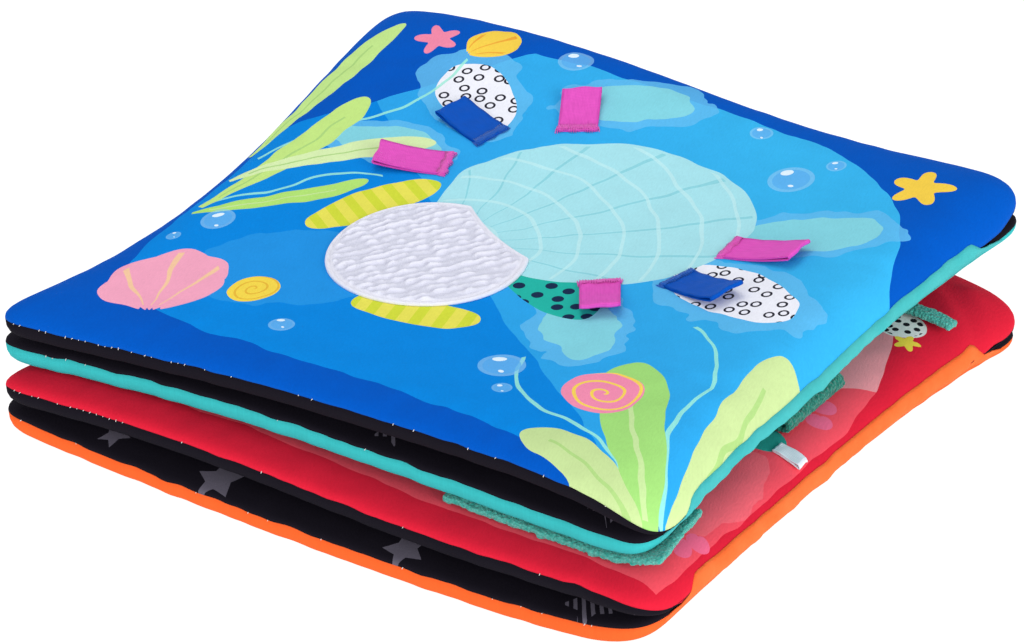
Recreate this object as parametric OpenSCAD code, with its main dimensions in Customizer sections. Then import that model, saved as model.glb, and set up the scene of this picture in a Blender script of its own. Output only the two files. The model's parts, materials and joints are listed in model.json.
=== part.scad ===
// Soft cloth book: four padded pages sewn edge to edge in a zigzag, lying closed.
// The origin is under the middle of the closed book, on the surface that it lies on.
// X runs across the pages from fold to fold, Y along the folds, Z up.
// Pages count from the top: 0 front cover, 1 turquoise page, 2 red page, 3 back cover.

/* [Pages] */
// Width of a page across, from fold to fold
page_w = 230; // [200:5:260]
// Length of a page along its folds
page_l = 205; // [185:5:240]
// Thickness of a page away from its edges
page_t = 11.4; // [9:0.2:13]
// Room between two closed pages at their middles
page_gap = 1.1; // [1:0.1:3]
// Radius of a page's corners
corner_r = 12; // [8:1:18]
// Width of the rounded edge of a page
edge_roll = 20; // [14:1:26]
// How far the bottom page is pressed flat by what lies on it
rest_press = 0.3; // [0.2:0.1:1]

/* [Cloth] */
// Thickness of the cloth of the pages
cloth_t = 0.8; // [0.6:0.1:1.2]
// Room between the cloth and the wadding inside it
wadding_gap = 0.3; // [0.2:0.1:0.6]
// Half the width of the seam where two cloths meet at a page's edge
seam_half = 0.1; // [0.1:0.05:0.3]
// Inset of the wadding's edge from the seam
wadding_inset = 4; // [3:0.5:6]
// Thickness of the cloth strip that joins two pages at a fold
fold_t = 1; // [0.8:0.1:1.6]
// Room between that strip and the seams beside it
fold_gap = 0.6; // [0.4:0.1:0.8]

/* [Front cover] */
// Place of the front cover, across and along
front_shift = [0, -1]; // [-4:0.5:4]
// Lift of its corners: near left, near right, far left, far right
front_corners = [-4, 9, 5, 17.5]; // [-6:0.5:20]
// Lift of its near, right, far and left edges
front_edges = [5, 14, 9.5, 0.5]; // [0:0.5:15]
// Wave along its near edge and its far edge
front_waves = [6, -8]; // [-9:0.5:9]
// Pull of its near, right, far and left edges towards the middle
front_pulls = [4.5, 6, -0.5, 15]; // [-1:0.5:16]
// Extra pull of the near half of the left edge
front_skew = 14; // [0:1:16]
// Rise of its folded edge
front_rise = -7.5; // [-9:0.5:0]

/* [Turquoise page] */
// Place of the turquoise page, across and along
turquoise_shift = [-2.5, 2]; // [-4:0.5:4]
// Lift of its corners: near left, near right, far left, far right
turquoise_corners = [-3.5, 6, 1.5, 11]; // [-6:0.5:16]
// Lift of its near, right, far and left edges
turquoise_edges = [3.5, 9, 2, 1]; // [0:0.5:10]
// Wave along its near edge and its far edge
turquoise_waves = [1.5, 0]; // [-6:0.5:6]
// Pull of its near, right, far and left edges towards the middle
turquoise_pulls = [4.5, 7, 0, 15]; // [-1:0.5:16]
// Extra pull of the near half of the left edge
turquoise_skew = 8; // [0:1:16]
// Rise of its folded edge
turquoise_rise = 2.5; // [0:0.5:4]

/* [Red page] */
// Place of the red page, across and along
red_shift = [0.5, -2.5]; // [-4:0.5:4]
// Lift of its corners: near left, near right, far left, far right
red_corners = [-1, 10, 1.5, 0]; // [-4:0.5:14]
// Lift of its near, right, far and left edges
red_edges = [2, 6.5, 2, -2.5]; // [-4:0.5:9]
// Wave along its near edge and its far edge
red_waves = [-4, 0]; // [-6:0.5:6]
// Pull of its near, right, far and left edges towards the middle
red_pulls = [2.5, 2, 0.5, 14]; // [-1:0.5:16]
// Extra pull of the near half of the left edge
red_skew = 6; // [0:1:16]
// Rise of its folded edge
red_rise = -6.5; // [-8:0.5:0]

/* [Back cover] */
// Place of the back cover, across and along
back_shift = [-1.5, 1]; // [-4:0.5:4]
// Lift of its corners: near left, near right, far left, far right
back_corners = [0.5, 2.5, 1.5, -7.5]; // [-8:0.5:8]
// Lift of its near, right, far and left edges
back_edges = [-1, -2, 2, -1]; // [-3:0.5:5]
// Wave along its near edge and its far edge
back_waves = [0.5, 0]; // [-3:0.5:3]
// Pull of its near, right, far and left edges towards the middle
back_pulls = [-1.5, 5, -0.5, 12]; // [-2:0.5:14]
// Extra pull of the near half of the left edge
back_skew = 4; // [0:1:16]
// Rise of its folded edge
back_rise = 7.5; // [0:0.5:8]

/* [Textured patch] */
// Middle of the patch on the front cover
patch_at = [-19, -18]; // [-40:1:0]
// Radius of its round side
patch_r = 30.5; // [24:0.5:34]
// Middle of the round bite out of its far side, from the patch's middle
patch_bite_at = [49.5, 98.5]; // [30:0.5:110]
// Radius of that bite
patch_bite_r = 87; // [60:1:95]
// Thickness of the patch
patch_t = 1.2; // [0.8:0.1:2]
// Room under what is sewn on a page
sewn_gap = 0.4; // [0.4:0.1:0.8]

/* [Ribbon tabs] */
// Width of the ribbon
ribbon_w = 12; // [9:1:14]
// Thickness of the ribbon
ribbon_t = 0.8; // [0.6:0.1:1.2]
// Sewn end of the left ribbon, its length, its direction and the lift of its free end
ribbon_left = [-43.5, 28.5, 24.5, 200, 1.5]; // [-80:0.5:200]
// Sewn end of the far left ribbon, its length, its direction and its lift
ribbon_far_left = [-40, 47, 21.5, 164, 1.5]; // [-80:0.5:200]
// Sewn end of the far ribbon, its length, its direction and its lift
ribbon_far = [-19, 61.5, 18.5, 119, 1.5]; // [-80:0.5:200]
// Sewn end of the far right ribbon, its length, its direction and its lift
ribbon_far_right = [56, 28, 24.5, 5, 2.5]; // [-80:0.5:200]
// Sewn end of the right ribbon, its length, its direction and its lift
ribbon_right = [52, 7, 24, -17, 3]; // [-80:0.5:200]
// Sewn end of the near ribbon, its length, its direction and its lift
ribbon_near = [33, -4, 21.5, -56, 2.5]; // [-80:0.5:200]

/* [Terry pieces] */
// Thickness of the terry cloth
terry_t = 2.4; // [1.6:0.2:3]
// Length of the flap under the turquoise page along its near edge and along its right edge
flap_reach = [74, 30]; // [20:1:90]
// Width of the flap, from its sewn edge to its free edge
flap_w = 14; // [10:1:16]
// How far the flap stands out past the page's right edge
flap_proud = 0.5; // [0.5:0.5:5]
// How far the flap's free edge lies inside the page's near edge
flap_inset = 3.5; // [1:0.5:5]
// How far the flap hangs below the page at its free edge
flap_sag = 3.5; // [1:0.5:4]
// Thickness of the flap where it is pressed at its sewn edge
flap_pressed_t = 1; // [0.8:0.1:1.4]
// Width, height and length of the loop on the red page
loop_size = [7, 5, 30]; // [5:0.2:40]
// Middle of the loop along the red page, and its distance inside the page's right edge
loop_at = [3, 15.5]; // [-8:0.5:18]
// Thickness of the loop's wall
loop_wall = 1.6; // [1.2:0.1:2]
// Length and width of the terry tab on the red page
terry_tab_size = [25, 5]; // [5:0.5:30]
// Place of the terry tab along the page, and how far its tip stands short of the right edge
terry_tab_at = [66, 5]; // [0:1:80]
// Lift of the terry tab's tip
terry_tab_lift = 3.5; // [1:0.5:5]
// Length and width of the white tab on the red page
white_tab_size = [9, 5]; // [4:0.5:20]
// Place of the white tab along the page, and how far its tip stands short of the right edge
white_tab_at = [-18, 3.5]; // [-40:1:40]

/* [Hidden] */

FRONT = 0;
TURQUOISE = 1;
RED = 2;
BACK = 3;
UP = 1;
DOWN = -1;

half_w = page_w / 2;
half_l = page_l / 2;
half_t = page_t / 2;
pitch = page_t + page_gap;

shifts = [front_shift, turquoise_shift, red_shift, back_shift];
corners = [front_corners, turquoise_corners, red_corners, back_corners];
edges = [front_edges, turquoise_edges, red_edges, back_edges];
waves = [front_waves, turquoise_waves, red_waves, back_waves];
pulls = [front_pulls, turquoise_pulls, red_pulls, back_pulls];
skews = [front_skew, turquoise_skew, red_skew, back_skew];
rises = [front_rise, turquoise_rise, red_rise, back_rise];

// Steps round each corner and along each side of a page's outline
corner_steps = 2;
side_steps = 5;
// Insets of the rings that shape the rounded edge, as shares of its width
roll_shares = [0, 0.07, 0.25, 0.55, 1];
// Sizes of the rings inside the rounded edge, as shares of the innermost of those
inner_shares = [0.66, 0.33];
// How sharply a folded edge rises
rise_power = 16;

// Share by which a point lies towards the side at t = 1, growing from nothing at the middle
function towards(t) = pow(max(0, t), 2);
function arch(t) = 1 - t * t;

// Height of a page's middle layer, at a point of the flat page
function layer_z(i, p) =
    let (u = p[0] / half_w, v = p[1] / half_l, c = corners[i], e = edges[i], w = waves[i],
         near = towards(-v), far = towards(v), left = towards(-u), right = towards(u))
    half_t - rest_press + (BACK - i) * pitch
    + (c[0] * left + c[1] * right) * near + (c[2] * left + c[3] * right) * far
    + arch(u) * ((e[0] + w[0] * u) * near + (e[2] + w[1] * u) * far)
    + arch(v) * (e[1] * right + e[3] * left)
    + rises[i] * pow(max(0, (1 + u) / 2), rise_power);

// Place of a point of the flat page on the real one, h above its middle layer, never under floor_z
function place(i, p, h, floor_z = 0) =
    let (u = p[0] / half_w, v = p[1] / half_l, q = pulls[i])
    [p[0] + shifts[i][0]
        + arch(v) * ((q[3] - skews[i] * v) * towards(-u) - q[1] * towards(u)),
     p[1] + shifts[i][1] + arch(u) * (q[0] * towards(-v) - q[2] * towards(v)),
     max(floor_z, layer_z(i, p) + h)];

// Half the thickness of a page at a distance inside its edge
function bulge(d) =
    let (t = min(max(d / edge_roll, 0), 1)) half_t * sqrt(1 - pow(1 - t, 2));

// Distance of a point of the flat page inside its nearest edge
function inside(p) = min(half_w - abs(p[0]), half_l - abs(p[1]));

// Outline of a page at an inset: its corners are arcs, its sides are stepped straight lines
function ring(inset) =
    let (a = half_w - inset, b = half_l - inset, r = max(corner_r - inset, 3),
         middles = [[a - r, b - r], [r - a, b - r], [r - a, r - b], [a - r, r - b]],
         sides = [2 * (b - r), 2 * (a - r), 2 * (b - r), 2 * (a - r)],
         ways = [[0, 1], [-1, 0], [0, -1], [1, 0]])
    [for (k = [0 : 3]) each concat(
        [for (s = [1 : side_steps - 1])
            middles[(k + 3) % 4] + r * [cos(90 * k), sin(90 * k)]
            + ways[k] * sides[k] * s / side_steps],
        [for (s = [0 : corner_steps])
            middles[k] + r * [cos(90 * (k + s / corner_steps)), sin(90 * (k + s / corner_steps))]])];

function scaled(points, share) = [for (p = points) share * p];

// Rings of one face of a page, each at its inset and height, then the smaller rings inside them
function face_rings(i, side, first, inset, drop, edge_inset, edge_h, floor_z) =
    concat(
        [[for (p = ring(edge_inset)) place(i, p, side * edge_h, floor_z)]],
        [for (j = [first : len(roll_shares) - 1])
            let (d = roll_shares[j] * edge_roll)
            [for (p = ring(d + inset * (1 - roll_shares[j])))
                place(i, p, side * (bulge(d) - drop), floor_z)]],
        [for (share = inner_shares)
            [for (p = scaled(ring(edge_roll), share))
                place(i, p, side * (half_t - drop), floor_z)]]);

function face_middle(i, side, drop, floor_z) = place(i, [0, 0], side * (half_t - drop), floor_z);

function band(from, to, n) =
    [for (k = [0 : n - 1])
        let (next = (k + 1) % n)
        each [[from + k, to + k, to + next], [from + k, to + next, from + next]]];

function cap(ring_at, middle_at, n) =
    [for (k = [0 : n - 1]) [ring_at + k, middle_at, ring_at + (k + 1) % n]];

function reversed(faces) = [for (f = faces) [f[2], f[1], f[0]]];

// Closed solid between an outer and an inner face with as many rings, or between two outer faces
module between(outer, outer_middle, inner, inner_middle, side) {
    n = len(outer[0]);
    count = len(outer);
    inner_at = count * n;
    middle_at = 2 * count * n;
    faces = concat(
        [for (j = [0 : count - 2]) each band(j * n, (j + 1) * n, n)],
        cap((count - 1) * n, middle_at, n),
        [for (j = [0 : count - 2]) each
            reversed(band(inner_at + j * n, inner_at + (j + 1) * n, n))],
        reversed(cap(inner_at + (count - 1) * n, middle_at + 1, n)),
        band(inner_at, 0, n));
    polyhedron(
        points = concat([for (r = outer) each r], [for (r = inner) each r],
                        [outer_middle, inner_middle]),
        faces = side == UP ? faces : reversed(faces), convexity = 4);
}

// One cloth of a page, from its seam over the padding
module page_cloth(i, side) {
    between(
        face_rings(i, side, 1, 0, 0, 0, seam_half, 0),
        face_middle(i, side, 0, 0),
        face_rings(i, side, 1, cloth_t, cloth_t, cloth_t, seam_half, cloth_t),
        face_middle(i, side, cloth_t, cloth_t),
        side);
}

// Padding between the two cloths of a page
module page_wadding(i) {
    drop = cloth_t + wadding_gap;
    between(
        face_rings(i, UP, 2, drop, drop, wadding_inset, seam_half, drop),
        face_middle(i, UP, drop, drop),
        face_rings(i, DOWN, 2, drop, drop, wadding_inset, seam_half, drop),
        face_middle(i, DOWN, drop, drop),
        UP);
}

// Solid strip through a row of sections of four points each
module swept(sections) {
    n = 4;
    last = (len(sections) - 1) * n;
    polyhedron(
        points = [for (s = sections) each s],
        faces = concat(
            [[2, 1, 0], [3, 2, 0], [last, last + 1, last + 2], [last, last + 2, last + 3]],
            [for (j = [0 : len(sections) - 2]) each reversed(band(j * n, (j + 1) * n, n))]),
        convexity = 4);
}

// Cloth strip that joins the seams of two neighbouring pages at one side
module fold_strip(upper, side) {
    steps = 12;
    reach = half_l - corner_r;
    swept([for (s = [0 : steps])
        let (y = reach * (2 * s / steps - 1),
             outer = side * (half_w - fold_gap),
             clear = bulge(fold_gap + fold_t) + fold_gap,
             above = place(upper, [outer, y], -clear),
             below = place(upper + 1, [outer, y], clear),
             inwards = [-side * fold_t, 0, 0])
        side > 0 ? [above, above + inwards, below + inwards, below]
                 : [below, below + inwards, above + inwards, above]]);
}

// Strip laid on a page's upper face from a sewn end, rising towards its free end
module laid_strip(i, from, length, direction, width, thickness, lift) {
    steps = 7;
    along = [cos(direction), sin(direction)];
    across = [-sin(direction), cos(direction)] * width / 2;
    swept([for (s = [0 : steps])
        let (t = s / steps, middle = from + along * length * t, rise = lift * t * t,
             left = middle + across, right = middle - across,
             under = sewn_gap + rise)
        [place(i, left, bulge(inside(left)) + under),
         place(i, right, bulge(inside(right)) + under),
         place(i, right, bulge(inside(right)) + under + thickness),
         place(i, left, bulge(inside(left)) + under + thickness)]]);
}

module ribbon(r) {
    laid_strip(FRONT, [r[0], r[1]], r[2], r[3], ribbon_w, ribbon_t, r[4]);
}

// Radius of the patch towards an angle: its round side, or the bite's edge where that is nearer
function patch_radius(angle) =
    let (way = [cos(angle), sin(angle)], reach = way * patch_bite_at,
         clear = patch_bite_at * patch_bite_at - patch_bite_r * patch_bite_r,
         under_root = reach * reach - clear)
    under_root > 0 && reach > 0 ? min(patch_r, reach - sqrt(under_root)) : patch_r;

module sewn_patch() {
    steps = 28;
    shares = [1, 0.6, 0.25];
    function level(h) = [for (share = shares)
        [for (k = [0 : steps - 1])
            let (angle = 360 * k / steps)
            place(FRONT, patch_at + share * patch_radius(angle) * [cos(angle), sin(angle)],
                  half_t + sewn_gap + h)]];
    function middle(h) = place(FRONT, patch_at, half_t + sewn_gap + h);
    between(level(patch_t), middle(patch_t), level(0), middle(0), UP);
}

// Strip under the turquoise page along its near right corner, pressed at its sewn inner edge
module flap_strip() {
    steps = 8;
    free = [half_w + flap_proud, -half_l + flap_inset];
    sewn = [half_w - flap_w, -half_l + flap_w];
    near = [for (s = [0 : steps])
        let (back = (flap_reach[0] - flap_w) * (1 - s / steps))
        [[sewn[0] - back, free[1]], [sewn[0] - back, sewn[1]]]];
    right = [for (s = [0 : steps])
        let (on = (flap_reach[1] - flap_w) * s / steps)
        [[free[0], sewn[1] + on], [sewn[0], sewn[1] + on]]];
    stations = concat(near, [[free, sewn]], right);
    swept([for (station = stations)
        let (outer = station[0], inner = station[1],
             inner_h = -bulge(inside(inner)) - sewn_gap,
             outer_h = -bulge(inside(outer)) - sewn_gap - flap_sag)
        [place(TURQUOISE, outer, outer_h), place(TURQUOISE, inner, inner_h),
         place(TURQUOISE, inner, inner_h - flap_pressed_t),
         place(TURQUOISE, outer, outer_h - terry_t)]]);
}

module loop_tube() {
    seat = [half_w - loop_at[1], loop_at[0]];
    on_page = place(RED, seat, bulge(loop_at[1]) + 2 * sewn_gap);
    round_r = loop_size[1] / 2;
    module section(inset) {
        for (x = [-1, 1])
            translate([x * (loop_size[0] / 2 - round_r), 0]) circle(r = round_r - inset, $fn = 24);
        square([loop_size[0] - 2 * round_r, 2 * (round_r - inset)], center = true);
    }
    translate([on_page[0], on_page[1] + loop_size[2] / 2, on_page[2] + round_r])
        rotate([90, 0, 0])
            linear_extrude(loop_size[2])
                difference() {
                    section(0);
                    section(loop_wall);
                }
}

module page_tab(at, size, thickness, lift) {
    tip = half_w - at[1];
    laid_strip(RED, [tip - size[0], at[0]], size[0], 0, size[1], thickness, lift);
}

module blue_cover_cloth() { color("royalblue") page_cloth(FRONT, UP); }
module front_cover_lining() { color("#15121a") page_cloth(FRONT, DOWN); }
module front_cover_wadding() { color("white") page_wadding(FRONT); }
module textured_patch() { color("lavender") sewn_patch(); }
module left_ribbon() { color("orchid") ribbon(ribbon_left); }
module far_left_ribbon() { color("mediumblue") ribbon(ribbon_far_left); }
module far_ribbon() { color("orchid") ribbon(ribbon_far); }
module far_right_ribbon() { color("orchid") ribbon(ribbon_far_right); }
module right_ribbon() { color("mediumblue") ribbon(ribbon_right); }
module near_ribbon() { color("orchid") ribbon(ribbon_near); }
module front_fold() { color("mediumturquoise") fold_strip(FRONT, 1); }
module turquoise_page_cloth() { color("mediumturquoise") page_cloth(TURQUOISE, DOWN); }
module turquoise_page_lining() { color("#15121a") page_cloth(TURQUOISE, UP); }
module turquoise_page_wadding() { color("white") page_wadding(TURQUOISE); }
module middle_fold() { color("#15121a") fold_strip(TURQUOISE, -1); }
module red_page_cloth() { color("crimson") page_cloth(RED, UP); }
module red_page_lining() { color("#15121a") page_cloth(RED, DOWN); }
module red_page_wadding() { color("white") page_wadding(RED); }
module back_fold() { color("coral") fold_strip(RED, 1); }
module orange_cover_cloth() { color("coral") page_cloth(BACK, DOWN); }
module back_cover_lining() { color("#15121a") page_cloth(BACK, UP); }
module back_cover_wadding() { color("white") page_wadding(BACK); }
module terry_flap() { color("teal") flap_strip(); }
module terry_loop() { color("teal") loop_tube(); }
module terry_tab() { color("teal") page_tab(terry_tab_at, terry_tab_size, terry_t, terry_tab_lift); }
module white_tab() { color("white") page_tab(white_tab_at, white_tab_size, ribbon_t, 1); }

blue_cover_cloth();
front_cover_lining();
front_cover_wadding();
textured_patch();
left_ribbon();
far_left_ribbon();
far_ribbon();
far_right_ribbon();
right_ribbon();
near_ribbon();
front_fold();
turquoise_page_cloth();
turquoise_page_lining();
turquoise_page_wadding();
middle_fold();
red_page_cloth();
red_page_lining();
red_page_wadding();
back_fold();
orange_cover_cloth();
back_cover_lining();
back_cover_wadding();
terry_flap();
terry_loop();
terry_tab();
white_tab();
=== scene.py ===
"""Looks of a padded cloth book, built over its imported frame, in metres."""

import json
import logging
import math
from dataclasses import dataclass, field
from enum import Enum

import bpy
import numpy as np
from mathutils import Matrix, Vector, noise


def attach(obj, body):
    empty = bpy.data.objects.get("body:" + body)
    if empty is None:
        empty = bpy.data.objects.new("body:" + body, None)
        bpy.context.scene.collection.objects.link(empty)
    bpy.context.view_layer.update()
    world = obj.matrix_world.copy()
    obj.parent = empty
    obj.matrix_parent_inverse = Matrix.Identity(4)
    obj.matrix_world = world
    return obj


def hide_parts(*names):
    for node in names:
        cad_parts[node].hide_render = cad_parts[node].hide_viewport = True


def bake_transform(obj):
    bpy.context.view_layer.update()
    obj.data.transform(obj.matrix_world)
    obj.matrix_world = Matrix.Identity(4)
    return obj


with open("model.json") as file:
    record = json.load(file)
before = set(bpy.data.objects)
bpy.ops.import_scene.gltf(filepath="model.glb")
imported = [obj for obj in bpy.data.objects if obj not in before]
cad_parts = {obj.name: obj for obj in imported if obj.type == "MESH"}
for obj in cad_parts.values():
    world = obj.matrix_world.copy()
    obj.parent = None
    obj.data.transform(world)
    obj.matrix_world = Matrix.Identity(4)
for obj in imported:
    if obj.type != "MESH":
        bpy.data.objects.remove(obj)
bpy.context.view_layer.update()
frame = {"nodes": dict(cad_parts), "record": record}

log = logging.getLogger("cloth_book")

Array = np.ndarray
Material = bpy.types.Material
Piece = bpy.types.Object
Socket = bpy.types.NodeSocket
Pair = tuple[float, float]
Three = tuple[float, float, float]
Four = tuple[float, float, float, float]

MM = 0.001
# sizes of a page, in mm
HALF_W = 115.0
HALF_L = 102.5
HALF_T = 5.7
ROLL = 20.0
CORNER_RUN = 22.0
# how the pages lie on each other, in mm
PITCH = 12.5
PRESS = 0.3
RISE_POWER = 16
SEAM_DROPS = {"front": 3.4, "red": 1.6}
# width that the page's UV map spans, in mm
UV_SPAN = 256.0
# how far a cloth may swell over its page, in mm
FRONT_LIFT = 1.1
PAGE_LIFT = 0.35
# how far it may sink, and how far the settled moves and a seam's own place may stray, in mm
SINK = 0.25
MOST_MOVED = (1.5, 1.5, 1.0)
STRAY, RIGHT_STRAY = 0.8, 3.5
# share of the settled moves that a cloth takes over in its plane
PLANE_SHARE = 0.4
# how far the front cover's right seam swells outwards, and the open seams of two pages rise, in mm
FRONT_SWELL = 3.0
SEAM_LIFT = 1.2


class Face(Enum):
    """Which way a cloth of a page looks."""

    UP = 1
    DOWN = -1


def page_shares(x: Array, y: Array) -> tuple[Array, ...]:
    """Shares of half a page across and along it, then how close to its near, far, left and right side."""
    u, v = x / HALF_W, y / HALF_L
    return u, v, *(np.maximum(0, t) ** 2 for t in (-v, v, -u, u))


@dataclass(frozen=True)
class PageShape:
    """How one page lies: the bends of its flat rounded rectangle, in mm."""

    name: str
    order: int
    shift: Pair
    corners: Four
    edges: Four
    waves: Pair
    pulls: Four
    skew: float
    rise: float

    def layer(self, x: Array, y: Array) -> Array:
        """Height of the page's middle layer.

        Args:
            x: flat places across the page.
            y: flat places along the page.

        Returns:
            Heights over the floor.
        """
        u, v, near, far, left, right = page_shares(x, y)
        c, e, w = self.corners, self.edges, self.waves
        return (
            HALF_T - PRESS + (3 - self.order) * PITCH
            + (c[0] * left + c[1] * right) * near + (c[2] * left + c[3] * right) * far
            + (1 - u * u) * ((e[0] + w[0] * u) * near + (e[2] + w[1] * u) * far)
            + (1 - v * v) * (e[1] * right + e[3] * left)
            + self.rise * np.maximum(0, (1 + u) / 2) ** RISE_POWER
        )

    def place(self, x: Array, y: Array, h: Array, floor: float = 0.0) -> Array:
        """Carries flat places onto the lying page.

        Args:
            x: flat places across the page.
            y: flat places along the page.
            h: heights over the middle layer.
            floor: the lowest height that a point may have.

        Returns:
            Points, one row each.
        """
        u, v, near, far, left, right = page_shares(x, y)
        p = self.pulls
        px = x + self.shift[0] + (1 - v * v) * ((p[3] - self.skew * v) * left - p[1] * right)
        py = y + self.shift[1] + (1 - u * u) * (p[0] * near - p[2] * far)
        return np.stack([px, py, np.maximum(floor, self.layer(x, y) + h)], axis=-1)


FRONT = PageShape("front", 0, (0, -1), (-4, 9, 5, 17.5), (5, 14, 9.5, 0.5), (6, -8), (4.5, 6, -0.5, 15), 14, -7.5)
TURQUOISE = PageShape("turquoise", 1, (-2.5, 2), (-3.5, 6, 1.5, 11), (3.5, 9, 2, 1), (1.5, 0), (4.5, 7, 0, 15), 8, 2.5)
RED = PageShape("red", 2, (0.5, -2.5), (-1, 10, 1.5, 0), (2, 6.5, 2, -2.5), (-4, 0), (2.5, 2, 0.5, 14), 6, -6.5)
BACK = PageShape("back", 3, (-1.5, 1), (0.5, 2.5, 1.5, -7.5), (-1, -2, 2, -1), (0.5, 0), (-1.5, 5, -0.5, 12), 4, 7.5)


def smooth(t: Array) -> Array:
    """Smooth step from 0 to 1."""
    t = np.clip(t, 0, 1)
    return t * t * (3 - 2 * t)


def mesh_piece(name: str, points: Array, faces: Array, flat: Array | None = None) -> Piece:
    """Makes a mesh object from points in mm.

    Args:
        name: the piece's name.
        points: its points, one row each.
        faces: its faces as point numbers, one row each.
        flat: flat places of the points on their page, for the UV map.

    Returns:
        The new object, at the origin.
    """
    mesh = bpy.data.meshes.new(name)
    mesh.from_pydata((points * MM).tolist(), [], faces.tolist())
    if flat is not None:
        loops = np.zeros(len(mesh.loops), np.int32)
        mesh.loops.foreach_get("vertex_index", loops)
        layer = mesh.uv_layers.new(name="page")
        layer.data.foreach_set("uv", (flat[loops] / UV_SPAN + 0.5).astype(np.float32).ravel())
    mesh.polygons.foreach_set("use_smooth", np.ones(len(mesh.polygons), bool))
    mesh.update()
    piece = bpy.data.objects.new(name, mesh)
    show(piece)
    return piece


def grid_faces(rows: int, columns: int) -> Array:
    """Quads of a grid of points.

    Args:
        rows: number of rows of points.
        columns: number of points in a row.

    Returns:
        The faces, anticlockwise where rows run along y and columns along x.
    """
    at = np.arange(rows * columns).reshape(rows, columns)
    return np.stack([at[:-1, :-1], at[:-1, 1:], at[1:, 1:], at[1:, :-1]], axis=-1).reshape(-1, 4)


def show(piece: Piece) -> None:
    """Puts an object into the scene."""
    bpy.context.scene.collection.objects.link(piece)


def choose(piece: Piece) -> None:
    """Makes one object the only selected one, and the active one."""
    bpy.ops.object.select_all(action="DESELECT")
    piece.select_set(True)
    bpy.context.view_layer.objects.active = piece


def finish_with(piece: Piece, kind: str, **settings: object) -> None:
    """Adds a modifier to a piece and applies it.

    Args:
        piece: the object.
        kind: the modifier's type.
        settings: its settings.
    """
    choose(piece)
    modifier = piece.modifiers.new(kind.title(), kind)
    for key, value in settings.items():
        setattr(modifier, key, value)
    bpy.ops.object.modifier_apply(modifier=modifier.name)


def weld(piece: Piece, reach: float) -> None:
    """Joins points of a piece that lie within a reach, in metres."""
    choose(piece)
    bpy.ops.object.mode_set(mode="EDIT")
    bpy.ops.mesh.select_all(action="SELECT")
    bpy.ops.mesh.remove_doubles(threshold=reach)
    bpy.ops.object.mode_set(mode="OBJECT")


def dress(piece: Piece, material: Material) -> None:
    """Gives a piece its material."""
    piece.data.materials.clear()
    piece.data.materials.append(material)


def colour(code: str) -> Four:
    """Turns a hex colour into linear values."""
    parts = [int(code[k : k + 2], 16) / 255 for k in (1, 3, 5)]
    return (*(c / 12.92 if c <= 0.04045 else ((c + 0.055) / 1.055) ** 2.4 for c in parts), 1.0)


class Field:
    """A number that changes over a surface, held as a socket of a shader."""

    def __init__(self, shader: "Shader", socket: Socket) -> None:
        """Keeps the shader and the socket."""
        self.shader = shader
        self.socket = socket

    def math(self, operation: str, *values: object) -> "Field":
        """Adds a Math node.

        Args:
            operation: the node's operation.
            values: its values or fields, in order.

        Returns:
            The field of its result.
        """
        node = self.shader.node("ShaderNodeMath", {"operation": operation}, dict(enumerate(values)))
        return Field(self.shader, node.outputs[0])

    def __add__(self, other: object) -> "Field":
        """Sum."""
        return self.math("ADD", self, other)

    def __radd__(self, other: object) -> "Field":
        """Sum, reflected."""
        return self.math("ADD", other, self)

    def __sub__(self, other: object) -> "Field":
        """Difference."""
        return self.math("SUBTRACT", self, other)

    def __rsub__(self, other: object) -> "Field":
        """Difference, reflected."""
        return self.math("SUBTRACT", other, self)

    def __mul__(self, other: object) -> "Field":
        """Product."""
        return self.math("MULTIPLY", self, other)

    def __rmul__(self, other: object) -> "Field":
        """Product, reflected."""
        return self.math("MULTIPLY", other, self)

    def __truediv__(self, other: object) -> "Field":
        """Quotient."""
        return self.math("DIVIDE", self, other)

    def __lt__(self, other: object) -> "Field":
        """1 where this is less."""
        return self.math("LESS_THAN", self, other)

    def __gt__(self, other: object) -> "Field":
        """1 where this is more."""
        return self.math("GREATER_THAN", self, other)

    def sine(self) -> "Field":
        """Sine."""
        return self.math("SINE", self)

    def size(self) -> "Field":
        """Value without its sign."""
        return self.math("ABSOLUTE", self)

    def fraction(self) -> "Field":
        """Part after the point."""
        return self.math("FRACT", self)


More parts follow.
